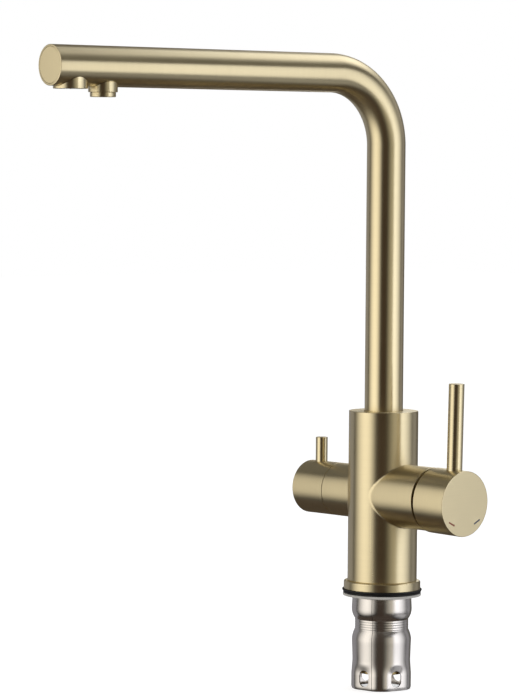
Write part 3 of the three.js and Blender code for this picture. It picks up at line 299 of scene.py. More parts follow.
class TurnedGrain:
    """The brush pattern and the exact normals of a turned piece, read off its outline."""

    def __init__(self, corners, place=UPRIGHT):
        outline = np.array([tuple(p) for p in rounded(corners)])
        runs = np.linalg.norm(np.diff(outline, axis=0), axis=1)
        kept = runs > WELD
        self.starts = outline[:-1][kept]
        self.runs = runs[kept]
        self.headings = (outline[1:][kept] - self.starts) / self.runs[:, None]
        self.arcs = np.concatenate([[0], np.cumsum(self.runs)[:-1]])
        self.turn = np.array(place.to_3x3())
        self.inverse = np.array(place.inverted())
        normals = np.stack([self.headings[:, 1], -self.headings[:, 0]], axis=1)
        bends = np.sum(normals[:-1] * normals[1:], axis=1) > math.cos(SHARP_ANGLE)
        self.first, self.last = normals.copy(), normals.copy()
        weighted = normals * self.runs[:, None]
        between = weighted[:-1] + weighted[1:]
        between /= np.maximum(np.linalg.norm(between, axis=1), WELD)[:, None]
        self.last[:-1][bends] = between[bends]
        self.first[1:][bends] = between[bends]

    def local(self, points):
        return points @ self.inverse[:3, :3].T + self.inverse[:3, 3]

    def nearest(self, points):
        """The outline's run nearest to each point, and the distance to it."""
        local = self.local(points)
        flat = np.stack([np.hypot(local[:, 0], local[:, 1]), local[:, 2]], axis=1)
        best = np.full(len(points), np.inf)
        found = np.zeros(len(points), int)
        for i, (start, heading, run) in enumerate(zip(self.starts, self.headings, self.runs)):
            share = np.clip((flat - start) @ heading, 0, run)
            gap = np.linalg.norm(flat - start - share[:, None] * heading, axis=1)
            nearer = gap < best
            best[nearer] = gap[nearer]
            found[nearer] = i
        return found, best

    def values(self, points, run):
        """Pattern place, direction across the lines, normal and distance of points on given runs."""
        local = self.local(points)
        radii = np.hypot(local[:, 0], local[:, 1])
        spoke = local[:, :2] / np.maximum(radii, WELD)[:, None]
        flat = np.stack([radii, local[:, 2]], axis=1) - self.starts[run]
        heading = self.headings[run]
        share = np.clip(np.sum(flat * heading, axis=1), 0, self.runs[run])
        gap = np.linalg.norm(flat - share[:, None] * heading, axis=1)
        along = self.arcs[run] + share
        across = np.stack([spoke[:, 0] * heading[:, 0], spoke[:, 1] * heading[:, 0], heading[:, 1]], axis=1)
        level = np.abs(heading[:, 1]) < FLAT_SLOPE
        across[level] = (1, 0, 0)
        along = np.where(level, local[:, 0], along)
        part = (share / self.runs[run])[:, None]
        tilt = self.first[run] * (1 - part) + self.last[run] * part
        normal = np.stack([spoke[:, 0] * tilt[:, 0], spoke[:, 1] * tilt[:, 0], tilt[:, 1]], axis=1)
        pattern = np.stack([local[:, 0], local[:, 1], along], axis=1)
        return pattern, across @ self.turn.T, normal @ self.turn.T, gap


def corner_data(mesh):
    """Points of a mesh's face corners, the face of each corner, and the faces' centres and normals."""
    points = np.zeros(len(mesh.vertices) * 3)
    mesh.vertices.foreach_get("co", points)
    verts = np.zeros(len(mesh.loops), int)
    mesh.loops.foreach_get("vertex_index", verts)
    totals = np.zeros(len(mesh.polygons), int)
    mesh.polygons.foreach_get("loop_total", totals)
    centres = np.zeros(len(mesh.polygons) * 3)
    mesh.polygons.foreach_get("center", centres)
    normals = np.zeros(len(mesh.polygons) * 3)
    mesh.polygons.foreach_get("normal", normals)
    faces = np.repeat(np.arange(len(totals)), totals)
    return points.reshape(-1, 3)[verts], faces, centres.reshape(-1, 3), normals.reshape(-1, 3)


def write_corners(mesh, name, values):
    attribute = mesh.attributes.new(name, "FLOAT_VECTOR", "CORNER")
    attribute.data.foreach_set("vector", values.astype(np.float32).ravel())


def write_grain(piece, grains):
    """Stores each face corner's place in the brush pattern, and gives turned faces their exact normals."""
    mesh = piece.data
    points, faces, centres, face_normals = corner_data(mesh)
    found = [grain.nearest(centres) for grain in grains]
    owner = np.argmin(np.stack([gap for _, gap in found]), axis=0)[faces]
    pattern, across, normals = (np.zeros_like(points) for _ in range(3))
    gaps = np.zeros(len(points))
    areas = np.array([polygon.area for polygon in mesh.polygons])[faces]
    for i, grain in enumerate(grains):
        own = owner == i
        run = found[i][0][faces][own]
        pattern[own], across[own], normals[own], gaps[own] = grain.values(points[own], run)
        facing = np.sum(normals[own] * face_normals[faces][own], axis=1) * areas[own]
        normals[own] *= np.sign(np.sum(facing))
    worst = np.zeros(len(centres))
    np.maximum.at(worst, faces, gaps)
    turned_away = np.sum(normals * face_normals[faces], axis=1) < math.cos(SHARP_ANGLE)
    normals[(worst[faces] > ON_SURFACE) | (turned_away & (areas > SLIVER_AREA))] = 0
    write_corners(mesh, "pattern", pattern)
    write_corners(mesh, "across", across)
    mesh.normals_split_custom_set(normals.tolist())


def shaded(piece):
    """Smooth faces with sharp edges where the surface turns a corner."""
    bm = bmesh.new()
    bm.from_mesh(piece.data)
    bmesh.ops.dissolve_degenerate(bm, dist=WELD, edges=bm.edges)
    for face in bm.faces:
        face.smooth = True
    for edge in bm.edges:
        edge.smooth = edge.calc_face_angle(0) < SHARP_ANGLE
    bm.to_mesh(piece.data)
    bm.free()


def finished(piece, material, body, nodes=(), grains=()):
    """The last steps of every new piece: shading, grain, finish and the body that carries it."""
    shaded(piece)
    if grains:
        write_grain(piece, grains)
    piece.data.materials.clear()
    piece.data.materials.append(material)
    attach(piece, body)
    if nodes:
        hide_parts(*nodes)
    return piece


def turned_piece(name, corners, place, material, body, cutters=(), facets=FACETS, nodes=None):
    """A turned piece that stands for the CAD node of its own name."""
    piece = turned(name + "_turned", corners, place, facets)
    if cutters:
        cut(piece, *cutters)
    return finished(piece, material, body, nodes or [name], [TurnedGrain(corners, place)])


# ---- Materials ----

class Nodes:
    """Builds one material's node tree."""

    def __init__(self, name):
        self.material = bpy.data.materials.new(name)
        self.material.use_nodes = True
        self.tree = self.material.node_tree
        self.shader = self.tree.nodes["Principled BSDF"]

    def add(self, kind, **settings):
        node = self.tree.nodes.new("ShaderNode" + kind)
        for key, value in settings.items():
            setattr(node, key, value)
        return node

    def link(self, source, target):
        self.tree.links.new(source, target)

    def attribute(self, name):
        return self.add("Attribute", attribute_type="GEOMETRY", attribute_name=name).outputs["Vector"]

    def object_place(self):
        return self.add("TexCoord").outputs["Object"]

    def noise(self, source, scale, detail=2.0):
        """Noise with its own scale for each axis, in cycles a metre."""
        mapping = self.add("Mapping")
        mapping.inputs["Scale"].default_value = scale
        self.link(source, mapping.inputs["Vector"])
        noise = self.add("TexNoise")
        noise.inputs["Scale"].default_value = 1
        noise.inputs["Detail"].default_value = detail
        self.link(mapping.outputs["Vector"], noise.inputs["Vector"])
        return noise.outputs["Fac"]

    def ranged(self, source, low, high, from_low=0.25, from_high=0.75):
        ranged = self.add("MapRange")
        ranged.inputs["From Min"].default_value = from_low
        ranged.inputs["From Max"].default_value = from_high
        ranged.inputs["To Min"].default_value = low
        ranged.inputs["To Max"].default_value = high
        self.link(source, ranged.inputs["Value"])
        return ranged.outputs["Result"]

    def math(self, operation, first, second=None):
        node = self.add("Math", operation=operation)
        for socket, value in zip(node.inputs, (first, second)):
            if value is None:
                continue
            if isinstance(value, (int, float)):
                socket.default_value = value
            else:
                self.link(value, socket)
        return node.outputs["Value"]

    def mixed(self, factor, first, second):
        mix = self.add("Mix", data_type="RGBA")
        self.link(factor, mix.inputs["Factor"])
        for socket, value in ((mix.inputs[6], first), (mix.inputs[7], second)):
            if isinstance(value, tuple):
                socket.default_value = (*value, 1)
            else:
                self.link(value, socket)
        return mix.outputs[2]

    def bumped(self, heights, distance, strength=1.0):
        """Adds a bump of the height to the shader, over the bumps already there."""
        bump = self.add("Bump")
        bump.inputs["Strength"].default_value = strength
        bump.inputs["Distance"].default_value = distance
        self.link(heights, bump.inputs["Height"])
        if self.shader.inputs["Normal"].is_linked:
            self.link(self.shader.inputs["Normal"].links[0].from_socket, bump.inputs["Normal"])
        self.link(bump.outputs["Normal"], self.shader.inputs["Normal"])


def shade_of(rgb, factor):
    """The same colour, lighter or darker."""
    return tuple(min(1.0, channel * factor) for channel in rgb)


def brushed_metal(name, rgb, roughness, anisotropic, line_depth):
    """Metal with fine brush lines round each turned surface, soft smears and rubbed edges."""
    m = Nodes(name)
    m.shader.inputs["Metallic"].default_value = 1
    m.shader.inputs["Anisotropic"].default_value = anisotropic
    pattern = m.attribute("pattern")
    fine = m.noise(pattern, (60, 60, 7000))
    coarse = m.noise(pattern, (18, 18, 1400), 3)
    smears = m.noise(m.object_place(), (28, 28, 28), 4)
    tint = m.ranged(smears, 0, 1, 0.3, 0.7)
    base = m.mixed(tint, shade_of(rgb, 0.95), shade_of(rgb, 1.03))
    streaks = m.ranged(coarse, 0, 0.25)
    m.link(m.mixed(streaks, base, shade_of(rgb, 0.9)), m.shader.inputs["Base Color"])
    lines = m.ranged(coarse, -0.015, 0.015)
    patches = m.ranged(smears, roughness - 0.02, roughness + 0.03)
    rubbed = m.ranged(m.add("NewGeometry").outputs["Pointiness"], 0, -0.08, 0.52, 0.58)
    m.link(m.math("ADD", m.math("ADD", lines, patches), rubbed), m.shader.inputs["Roughness"])
    turn = m.add("VectorTransform", vector_type="VECTOR", convert_from="OBJECT", convert_to="WORLD")
    m.link(m.attribute("across"), turn.inputs["Vector"])
    m.link(turn.outputs["Vector"], m.shader.inputs["Tangent"])
    m.bumped(fine, line_depth, 0.12)
    m.bumped(coarse, line_depth, 0.1)
    return m.material


def plain_metal(name, rgb, roughness):
    """Turned or drawn metal of an inner piece, with object-space tool marks."""
    m = Nodes(name)
    m.shader.inputs["Metallic"].default_value = 1
    spots = m.noise(m.object_place(), (700, 700, 2600), 3)
    stains = m.noise(m.object_place(), (60, 60, 60), 4)
    m.link(m.mixed(m.ranged(stains, 0, 1), shade_of(rgb, 0.82), shade_of(rgb, 1.08)), m.shader.inputs["Base Color"])
    m.link(m.ranged(spots, roughness - 0.07, roughness + 0.1), m.shader.inputs["Roughness"])
    m.bumped(spots, 0.02 * MM, 0.4)
    return m.material


def moulded(name, rgb, roughness, grain_scale, grain_depth):
    """Rubber, fibre or plastic: a fine moulded grain with uneven sheen."""
    m = Nodes(name)
    m.shader.inputs["Metallic"].default_value = 0
    m.shader.inputs["Specular IOR Level"].default_value = 0.45
    grain = m.noise(m.object_place(), (grain_scale,) * 3, 3)
    cloud = m.noise(m.object_place(), (90, 90, 90), 4)
    m.link(m.mixed(m.ranged(cloud, 0, 1), shade_of(rgb, 0.85), shade_of(rgb, 1.12)), m.shader.inputs["Base Color"])
    m.link(m.ranged(cloud, roughness - 0.08, roughness + 0.08), m.shader.inputs["Roughness"])
    m.bumped(grain, grain_depth, 0.5)
    return m.material


def drawn_stainless(name, rgb):
    """Bright drawn tube with faint lengthwise lines, heat tint and one welded seam."""
    m = Nodes(name)
    m.shader.inputs["Metallic"].default_value = 1
    m.shader.inputs["Anisotropic"].default_value = 0.2
    place = m.object_place()
    drawn = m.noise(place, (2600, 2600, 30), 3)
    cloud = m.noise(place, (70, 70, 40), 4)
    pits = m.noise(place, (900, 900, 900), 2)
    parts = m.add("SeparateXYZ")
    m.link(place, parts.inputs["Vector"])
    bearing = m.math("ARCTAN2", parts.outputs["Y"], parts.outputs["X"])
    off_seam = m.math("ABSOLUTE", m.math("SUBTRACT", bearing, NUT_SEAM_BEARING))
    seam = m.ranged(off_seam, 1, 0, 0.3 * NUT_SEAM_WIDTH, NUT_SEAM_WIDTH)
    tinted = m.mixed(m.ranged(cloud, 0, 1), shade_of(rgb, 0.9), shade_of(rgb, 1.07))
    m.link(m.mixed(seam, tinted, shade_of(rgb, 0.22)), m.shader.inputs["Base Color"])
    sheen = m.ranged(drawn, 0.2, 0.25)
    m.link(m.math("ADD", sheen, m.ranged(cloud, -0.03, 0.04)), m.shader.inputs["Roughness"])
    m.bumped(drawn, 0.002 * MM, 0.3)
    m.bumped(pits, 0.002 * MM, 0.2)
    m.bumped(m.math("MULTIPLY", seam, -1), 0.08 * MM, 0.6)
    return m.material


def enamel(name, rgb):
    """A filled line of paint, slightly uneven."""
    m = Nodes(name)
    cloud = m.noise(m.object_place(), (900, 900, 900), 3)
    m.link(m.mixed(m.ranged(cloud, 0, 1), shade_of(rgb, 0.8), shade_of(rgb, 1.25)), m.shader.inputs["Base Color"])
    m.link(m.ranged(cloud, 0.35, 0.55), m.shader.inputs["Roughness"])
    m.bumped(cloud, 0.03 * MM, 0.5)
    return m.material


NUT_SEAM_BEARING = math.radians(-63.7)
NUT_SEAM_WIDTH = 0.011
MATERIALS = {}


def make_materials():
    """One material for each finish, kept by the record's slot names."""
    look = finishes()
    MATERIALS.update({
        "brushed_brass": brushed_metal("brushed_brass", tuple(look.brass), 0.33, 0.75, 0.003 * MM),
        # The raw brass colour carries painted shade for the dark inside of the nut round the shank's end.
        "raw_brass": plain_metal("raw_brass", tuple(look.raw_brass), 0.32),
        "stainless": drawn_stainless("stainless", tuple(look.stainless)),
        "steel": plain_metal("steel", tuple(look.steel), 0.3),
        "black_rubber": moulded("black_rubber", tuple(look.rubber), 0.55, 2500, 0.03 * MM),
        "pale_fibre": moulded("pale_fibre", tuple(look.fibre), 0.6, 1800, 0.04 * MM),
        "white_plastic": moulded("white_plastic", tuple(look.white_plastic), 0.45, 1500, 0.02 * MM),
        "grey_plastic": moulded("grey_plastic", tuple(look.grey_plastic), 0.5, 1500, 0.02 * MM),
        "red_enamel": enamel("red_enamel", tuple(look.red)),
        "blue_enamel": enamel("blue_enamel", tuple(look.blue)),
    })


def dress_frame_nodes():
    """Gives every CAD node that still shows the finish of its own slot, and raw brass where that slot is brushed
    brass.
    """
    slots = {part["node"]: part["material_slot"] for part in frame["record"]["subparts"]}
    for name, node in frame["nodes"].items():
        if node.hide_render:
            continue
        material = MATERIALS[slots[name]]
        if slots[name] == "brushed_brass":
            material = MATERIALS["raw_brass"]
        node.data.materials.clear()
        node.data.materials.append(material)


# ---- Body ----

def branch_corners(radius, end, edge, fillet):
    """A branch's outline: its first corners are measured out from the body's surface."""
    return [
        (0, -4 * MM, 0), (radius + fillet, -4 * MM, 0), (radius + fillet, 0, 0),
        (radius + 0.25 * fillet, 0.25 * fillet, 0), (radius, fillet, 0),
        (radius, end, edge), (0, end, 0),
    ]


def branch(name, corners, place, body_radius, fillet):
    """A turned branch whose foot follows the body's round surface."""
    piece_bm = spun(rounded(corners), FACETS)
    for vert in piece_bm.verts:
        if vert.co.z <= fillet + WELD:
            vert.co.z += math.sqrt(body_radius ** 2 - vert.co.y ** 2)
    return made(name, piece_bm, place)


def make_body():
    s = body_sizes()
    low = box_span("body", 2)[0]
    seat = box_span("base_ring", 2)[1]
    top = box_span("body", 2)[1]
    left, right = box_span("body", 0)
    column = [
        (0, s.shank_floor, 0), (s.shank_socket, s.shank_floor, 0), (s.shank_socket, low, 0),
        (s.spigot_radius, low, 0), (s.spigot_radius, seat, 0), (s.radius, seat, s.edge), (s.radius, top, s.edge),
        (s.mouth_radius, top, 0.3 * MM), (s.mouth_radius, s.socket_floor, 0), (0, s.socket_floor, 0),
    ]
    mixer = branch_corners(s.mixer_branch, right, 0.4 * MM, s.fillet)
    filtered = branch_corners(s.filter_branch, -left, 0.25 * MM, s.fillet)
    body = turned("tap_body_turned", column)
    joined(
        body,
        branch("mixer_branch", mixer, MIXER_SIDE, s.radius, s.fillet),
        branch("filter_branch", filtered, FILTER_SIDE, s.radius, s.fillet),
    )
    nut_low, nut_high = box_span("cartridge_nut", 0)
    nut_bore = (box_span("cartridge_nut", 1)[1] + RUNNING_GAP)
    cartridge_bore = box_span("cartridge_housing", 1)[1] + RUNNING_GAP
    cuts = [
        rod(nut_bore, nut_low - RUNNING_GAP, right + OVERRUN, MIXER_SIDE, FACETS),
        rod(cartridge_bore, box_span("cartridge_seal", 0)[0] - FIT_GAP, nut_high, MIXER_SIDE, FACETS),
        rod(13.6 * MM, 34 * MM, -left + OVERRUN, FILTER_SIDE),
        rod(9.6 * MM, 19 * MM, 35 * MM, FILTER_SIDE),
        rod(2.65 * MM, s.mouth_radius - OVERRUN, s.radius + OVERRUN,
            Matrix.Translation((0, 0, s.lock_height)) @ Matrix.Rotation(math.radians(-90), 4, "X")),
    ]
    for bearing in (52, -52, 180):
        x = s.port_circle * math.cos(math.radians(bearing))
        y = s.port_circle * math.sin(math.radians(bearing))
        cuts.append(rod(s.port_radius, s.shank_floor - OVERRUN, s.shank_floor + 10 * MM,
                        Matrix.Translation((x, y, 0))))
    cut(body, *cuts)
    grains = [TurnedGrain(column), TurnedGrain(mixer, MIXER_SIDE), TurnedGrain(filtered, FILTER_SIDE)]
    finished(body, MATERIALS["brushed_brass"], "tap_body", ["body"], grains)


# ---- Base ----

NUT_SWELL_STEPS = 16
NUT_WALL = 1.05 * MM
NUT_BEARING = math.radians(-47.4)
NUT_FLAT_OFFSET = math.radians(36)
NUT_FLAT_SPAN = math.radians(66)
NUT_FLAT_DEPTH = 1.65 * MM
NUT_FLAT_TOP = 18 * MM
NUT_FLAT_FULL = 10 * MM
NUT_RIM = 19.4 * MM
BAR_HOLE_WIDTH = 7.7 * MM
BAR_HOLE_HEIGHT = 10.8 * MM
BAR_HOLE_RISE = 7.6 * MM
THREAD_PITCH = 1.5 * MM
THREAD_DEPTH = 0.75 * MM


def make_base():
    brass = MATERIALS["brushed_brass"]
    s = body_sizes()
    low, high = box_span("base_ring", 2)
    outer = box_span("base_ring", 0)[1]
    inner = s.spigot_radius + FIT_GAP
    turned_piece("base_ring", [
        (inner, low, 0), (outer, low, 0.3 * MM), (outer, high, 1.1 * MM), (inner, high, 0), (inner, low, 0),
    ], UPRIGHT, brass, "tap_body")
    low, high = box_span("base_gasket", 2)
    outer = box_span("base_gasket", 0)[1]
    turned_piece("base_gasket", [
        (inner, low, 0), (outer - 0.7 * MM, low, 0.3 * MM), (outer - 0.7 * MM, low + 0.9 * MM, 0.2 * MM),
        (outer - 1.1 * MM, low + 1.15 * MM, 0), (outer - 0.1 * MM, low + 1.4 * MM, 0.2 * MM),
        (outer, high, 0.3 * MM), (inner, high, 0), (inner, low, 0),
    ], UPRIGHT, MATERIALS["black_rubber"], "tap_body")
    low, high = box_span("clamp_washer", 2)
    outer = box_span("clamp_washer", 0)[1]
    bore = box_span("threaded_shank", 0)[1] + RUNNING_GAP
    turned_piece("clamp_washer", [
        (bore, low, 0.1 * MM), (outer, low, 0.35 * MM), (outer, high, 0.35 * MM), (bore, high, 0.1 * MM),
        (bore, low, 0),
    ], UPRIGHT, MATERIALS["pale_fibre"], "clamp")


def make_shank():
    """The shank's bored core with one unbroken screw thread round it."""
    low, high = box_span("threaded_shank", 2)
    crest = box_span("threaded_shank", 0)[1]
    root = crest - THREAD_DEPTH
    bore = 13.2 * MM
    core = turned("threaded_shank_turned", [
        (bore, low, 0.3 * MM), (root, low, 0.4 * MM), (root, high, 0), (bore, high, 0), (bore, low, 0),
    ])
    bm = bmesh.new()
    turns = int((high - low) / THREAD_PITCH) - 1
    foot = low + 0.3 * MM
    ridge = [
        (root - 0.2 * MM, foot), (root, foot), (crest - 0.08 * MM, foot + 0.46 * THREAD_PITCH),
        (crest - 0.08 * MM, foot + 0.54 * THREAD_PITCH), (root, foot + 0.98 * THREAD_PITCH),
        (root - 0.2 * MM, foot + 0.98 * THREAD_PITCH),
    ]
    verts = [bm.verts.new((radius, 0, along)) for radius, along in ridge]
    face = bm.faces.new(verts)
    steps = turns * 48
    bmesh.ops.spin(
        bm, geom=[face, *face.edges, *face.verts], cent=(0, 0, 0), axis=(0, 0, 1),
        dvec=(0, 0, turns * THREAD_PITCH / steps), angle=2 * math.pi * turns, steps=steps,
    )
    bmesh.ops.contextual_create(bm, geom=[e for e in bm.edges if e.is_boundary])
    bmesh.ops.recalc_face_normals(bm, faces=bm.faces)
    thread = made("shank_thread", bm)
    # The shank's raw brass is darkened as painted shade for the dark inside of the nut.
    finished(core, MATERIALS["raw_brass"], "tap_body", ["threaded_shank"])
    finished(thread, MATERIALS["raw_brass"], "tap_body")


def nut_outline(top, foot, waist):
    """The sleeve nut's outer outline, from its top rim down."""
    crown, shoulder, barrel = 19.5 * MM, 19.25 * MM, 18.8 * MM
    crown_at, waist_at, waist_end = top - 7.6 * MM, top - 15 * MM, top - 21.4 * MM
    shoulder_at = waist_end - 7.4 * MM
    points = [(19.0 * MM, top - 0.4 * MM), (19.15 * MM, top - 1.2 * MM), (crown, crown_at)]
    for i in range(1, NUT_SWELL_STEPS + 1):
        t = i / NUT_SWELL_STEPS
        points.append((crown + (waist - crown) * t ** 2.4, crown_at + (waist_at - crown_at) * t))
    ridges = 4
    for i in range(1, ridges * 8 + 1):
        t = i / (ridges * 8)
        ripple = 0.05 * MM * (1 - math.cos(2 * math.pi * ridges * t))
        points.append((waist + ripple, waist_at + (waist_end - waist_at) * t))
    for i in range(1, NUT_SWELL_STEPS + 1):
        t = i / NUT_SWELL_STEPS
        points.append((shoulder + (waist - shoulder) * (1 - t) ** 2, waist_end + (shoulder_at - waist_end) * t))
    points += [(shoulder - 0.1 * MM, shoulder_at - 2 * MM), (barrel, shoulder_at - 12 * MM)]
    for i in range(NUT_SWELL_STEPS + 1):
        t = i / NUT_SWELL_STEPS
        rise = NUT_FLAT_TOP + (NUT_FLAT_FULL - NUT_FLAT_TOP) * t
        points.append((barrel + (NUT_RIM - barrel) * t, foot + rise))
    for i in range(1, 9):
        points.append((NUT_RIM, foot + NUT_FLAT_FULL - i * MM))
    return points + [(NUT_RIM - 0.1 * MM, foot + 0.9 * MM), (NUT_RIM - 0.45 * MM, foot)]


def press_flats(bm, foot):
    """Presses the four flats in round the nut's foot, in two opposite pairs."""
    for vert in bm.verts:
        bearing = math.atan2(vert.co.y, vert.co.x) - NUT_BEARING
        folded = abs(math.asin(math.sin(bearing)))
        off = min(1, abs(folded - NUT_FLAT_OFFSET) / (NUT_FLAT_SPAN / 2))
        share = (1 + math.cos(math.pi * off)) / 2
        rest = min(1, max(0, (vert.co.z - foot - NUT_FLAT_FULL) / (NUT_FLAT_TOP - NUT_FLAT_FULL)))
        fade = 1 - rest * rest * (3 - 2 * rest)
        press = 1 - NUT_FLAT_DEPTH * fade * share / NUT_RIM
        vert.co.x *= press
        vert.co.y *= press


def bar_hole(bearing, foot):
    """A cutter for one oblong hole: a rounded bar across the nut's wall."""
    bm = bmesh.new()
    half = BAR_HOLE_WIDTH / 2
    bmesh.ops.create_circle(bm, cap_ends=True, segments=64, radius=half)
    straight = BAR_HOLE_HEIGHT / 2 - half
    for vert in bm.verts:
        vert.co.y += math.copysign(straight, vert.co.y)
    grown = bmesh.ops.extrude_face_region(bm, geom=bm.faces[:])
    new_verts = [v for v in grown["geom"] if isinstance(v, bmesh.types.BMVert)]
    bmesh.ops.translate(bm, verts=new_verts, vec=(0, 0, 12 * MM))
    bmesh.ops.recalc_face_normals(bm, faces=bm.faces)
    stand = Matrix.Rotation(math.radians(90), 4, "Z") @ Matrix.Rotation(math.radians(90), 4, "X")
    turn = Matrix.Rotation(bearing, 4, "Z")
    place = Matrix.Translation((0, 0, foot + BAR_HOLE_RISE)) @ turn @ Matrix.Translation((12 * MM, 0, 0)) @ stand
    return made("cutter", bm, place)


def make_nut():
    foot, top = box_span("sleeve_nut", 2)
    waist = box_span("threaded_shank", 0)[1] + RUNNING_GAP + NUT_WALL
    outside = nut_outline(top, foot, waist)
    inside = [(radius - NUT_WALL, along) for radius, along in reversed(outside)]
    rim_top = [(18.9 * MM, top), (18.1 * MM, top)]
    bm = spun([*rim_top[::-1], *outside, *inside, rim_top[1]], FACETS)
    press_flats(bm, foot)
    nut = made("sleeve_nut_drawn", bm)
    sides = (-NUT_FLAT_OFFSET, NUT_FLAT_OFFSET)
    cut(nut, *[bar_hole(NUT_BEARING + side + back, foot) for side in sides for back in (0, math.pi)])
    finished(nut, MATERIALS["stainless"], "nut", ["sleeve_nut"])


# ---- Spout ----

def next_ring(bm, edges, matrix):
    """Extrudes a ring of edges and moves the new ring."""
    grown = bmesh.ops.extrude_edge_only(bm, edges=edges)["geom"]
    verts = [g for g in grown if isinstance(g, bmesh.types.BMVert)]
    bmesh.ops.transform(bm, matrix=matrix, verts=verts)
    return [g for g in grown if isinstance(g, bmesh.types.BMEdge)]


def scaled_about(centre, factor):
    return Matrix.Translation(centre) @ Matrix.Scale(factor, 4) @ Matrix.Translation(-centre)


def spout_heights():
    """Height of the spout's level axis, and where its bend starts."""
    s = spout_sizes()
    axis = box_span("spout_tube", 2)[1] - s.radius
    return axis, axis - s.bend


def write_spout_grain(tube):
    """The brush pattern of the spout's tube, as if it were unrolled straight."""
    s = spout_sizes()
    axis, spring = spout_heights()
    turn = np.array(SPOUT_PLACE.to_3x3())
    points = corner_data(tube.data)[0] @ turn
    x, y, z = points.T
    angle = np.clip(np.arctan2(z - spring, y + s.bend), 0, math.pi / 2)
    upright = z < spring
    level = (~upright) & (y < -s.bend)
    bend = (~upright) & (~level)
    bent_depth = np.hypot(z - spring, y + s.bend) - s.bend
    depth = np.where(upright, y, np.where(level, z - axis, bent_depth))
    corner = spring + s.bend * math.pi / 2
    along = np.where(upright, z, np.where(level, corner - y - s.bend, spring + s.bend * angle))
    across = np.zeros_like(points)
    across[upright, 2] = 1
    across[level, 1] = -1
    across[bend, 1] = -np.sin(angle[bend])
    across[bend, 2] = np.cos(angle[bend])
    write_corners(tube.data, "pattern", np.stack([x, depth, along], axis=1))
    write_corners(tube.data, "across", across @ turn.T)


def make_spout():
    s = spout_sizes()
    axis, spring = spout_heights()
    foot = box_span("spout_tube", 2)[0]
    bm = bmesh.new()
    bmesh.ops.create_circle(bm, segments=FACETS, radius=s.radius, matrix=Matrix.Translation((0, 0, foot)))
    edges = next_ring(bm, bm.edges[:], Matrix.Translation((0, 0, spring - foot)))
    ring = list({vert for edge in edges for vert in edge.verts})
    swept = bmesh.ops.spin(
        bm, geom=edges + ring, cent=(0, -s.bend, spring), axis=(1, 0, 0), angle=math.radians(90),
        steps=BEND_STEPS,
    )["geom_last"]
    edges = [g for g in swept if isinstance(g, bmesh.types.BMEdge)]
    rim = 0.3 * MM
    edges = next_ring(bm, edges, Matrix.Translation((0, s.bend + rim - s.reach, 0)))
    tip = Vector((0, -s.reach, axis))
    for i in range(1, CORNER_STEPS + 1):
        t = math.radians(90 * i / CORNER_STEPS)
        before = math.radians(90 * (i - 1) / CORNER_STEPS)
        old, new = (s.radius - rim * (1 - math.cos(a)) for a in (before, t))
        push = Matrix.Translation((0, -rim * (math.sin(t) - math.sin(before)), 0))
        edges = next_ring(bm, edges, push @ scaled_about(tip, new / old))
    bore = s.radius - s.wall
    edges = next_ring(bm, edges, scaled_about(tip, bore / (s.radius - rim)))
    edges = next_ring(bm, edges, Matrix.Translation((0, 5 * MM, 0)))
    bmesh.ops.remove_doubles(bm, verts=bm.verts, dist=WELD)
    for loop in (lambda e: e.verts[0].co.z < foot + WELD, lambda e: e.verts[0].co.z > foot + WELD):
        bmesh.ops.contextual_create(bm, geom=[e for e in bm.edges if e.is_boundary and loop(e)])
    bmesh.ops.recalc_face_normals(bm, faces=bm.faces)
    tube = made("spout_tube_bent", bm, SPOUT_PLACE)
    finished(tube, MATERIALS["brushed_brass"], "spout", ["spout_tube"])
    write_spout_grain(tube)
    tip_place = SPOUT_PLACE @ Matrix.Translation((0, 0, axis)) @ Matrix.Rotation(math.radians(90), 4, "X")
    plug = bore - FIT_GAP
    turned_piece("spout_end_plug", [
        (0, s.reach - 4 * MM, 0), (plug, s.reach - 4 * MM, 0), (plug, s.reach, 0.18 * MM), (0, s.reach, 0),
    ], tip_place, MATERIALS["brushed_brass"], "spout")


def outlet_place(from_tip):
    """The place of an outlet: its axis upright, its origin on the tube's axis."""
    axis, _ = spout_heights()
    return SPOUT_PLACE @ Matrix.Translation((0, -(spout_sizes().reach - from_tip), axis))


def tube_cutter():
    """The tube's own shape with the fit gap round it, which cuts a saddle in a boss."""
    s = spout_sizes()
    axis, _ = spout_heights()
    place = SPOUT_PLACE @ Matrix.Translation((0, 0, axis)) @ Matrix.Rotation(math.radians(90), 4, "X")
    return rod(s.radius + 0.2 * MM, s.bend, s.reach + 30 * MM, place, FACETS)


def make_filter_outlet():
    s = spout_sizes()
    brass = MATERIALS["brushed_brass"]
    place = outlet_place(s.filter_from_tip)
    recess = 8.2 * MM
    rim = -s.filter_drop
    turned_piece("filter_outlet_boss", [
        (0, -4 * MM, 0), (s.filter_radius, -4 * MM, 0), (s.filter_radius, rim, 0.35 * MM),
        (recess, rim, 0.2 * MM), (recess, rim + 3.9 * MM, 0), (0, rim + 3.9 * MM, 0),
    ], place, brass, "spout", [tube_cutter()])
    top = rim + 3.7 * MM
    holes = [(0, 0)] + [(4 * MM * math.cos(i * math.pi / 3), 4 * MM * math.sin(i * math.pi / 3)) for i in range(6)]
    drills = [
        turned("cutter", [
            (0, -14 * MM, 0), (1.4 * MM, -14 * MM, 0), (1.4 * MM, top - 2.62 * MM, 0), (0.9 * MM, top - 2.1 * MM, 0),
            (0.9 * MM, -9 * MM, 0), (0, -9 * MM, 0),
        ], place @ Matrix.Translation((x, y, 0)), 48)
        for x, y in holes
    ]
    edge = recess - FIT_GAP
    turned_piece("filter_stream_former", [
        (0, top, 0), (edge, top, 0), (edge, top - 2.6 * MM, 0.5 * MM), (0, top - 2.6 * MM, 0),
    ], place, MATERIALS["white_plastic"], "spout", drills, SMALL_FACETS)


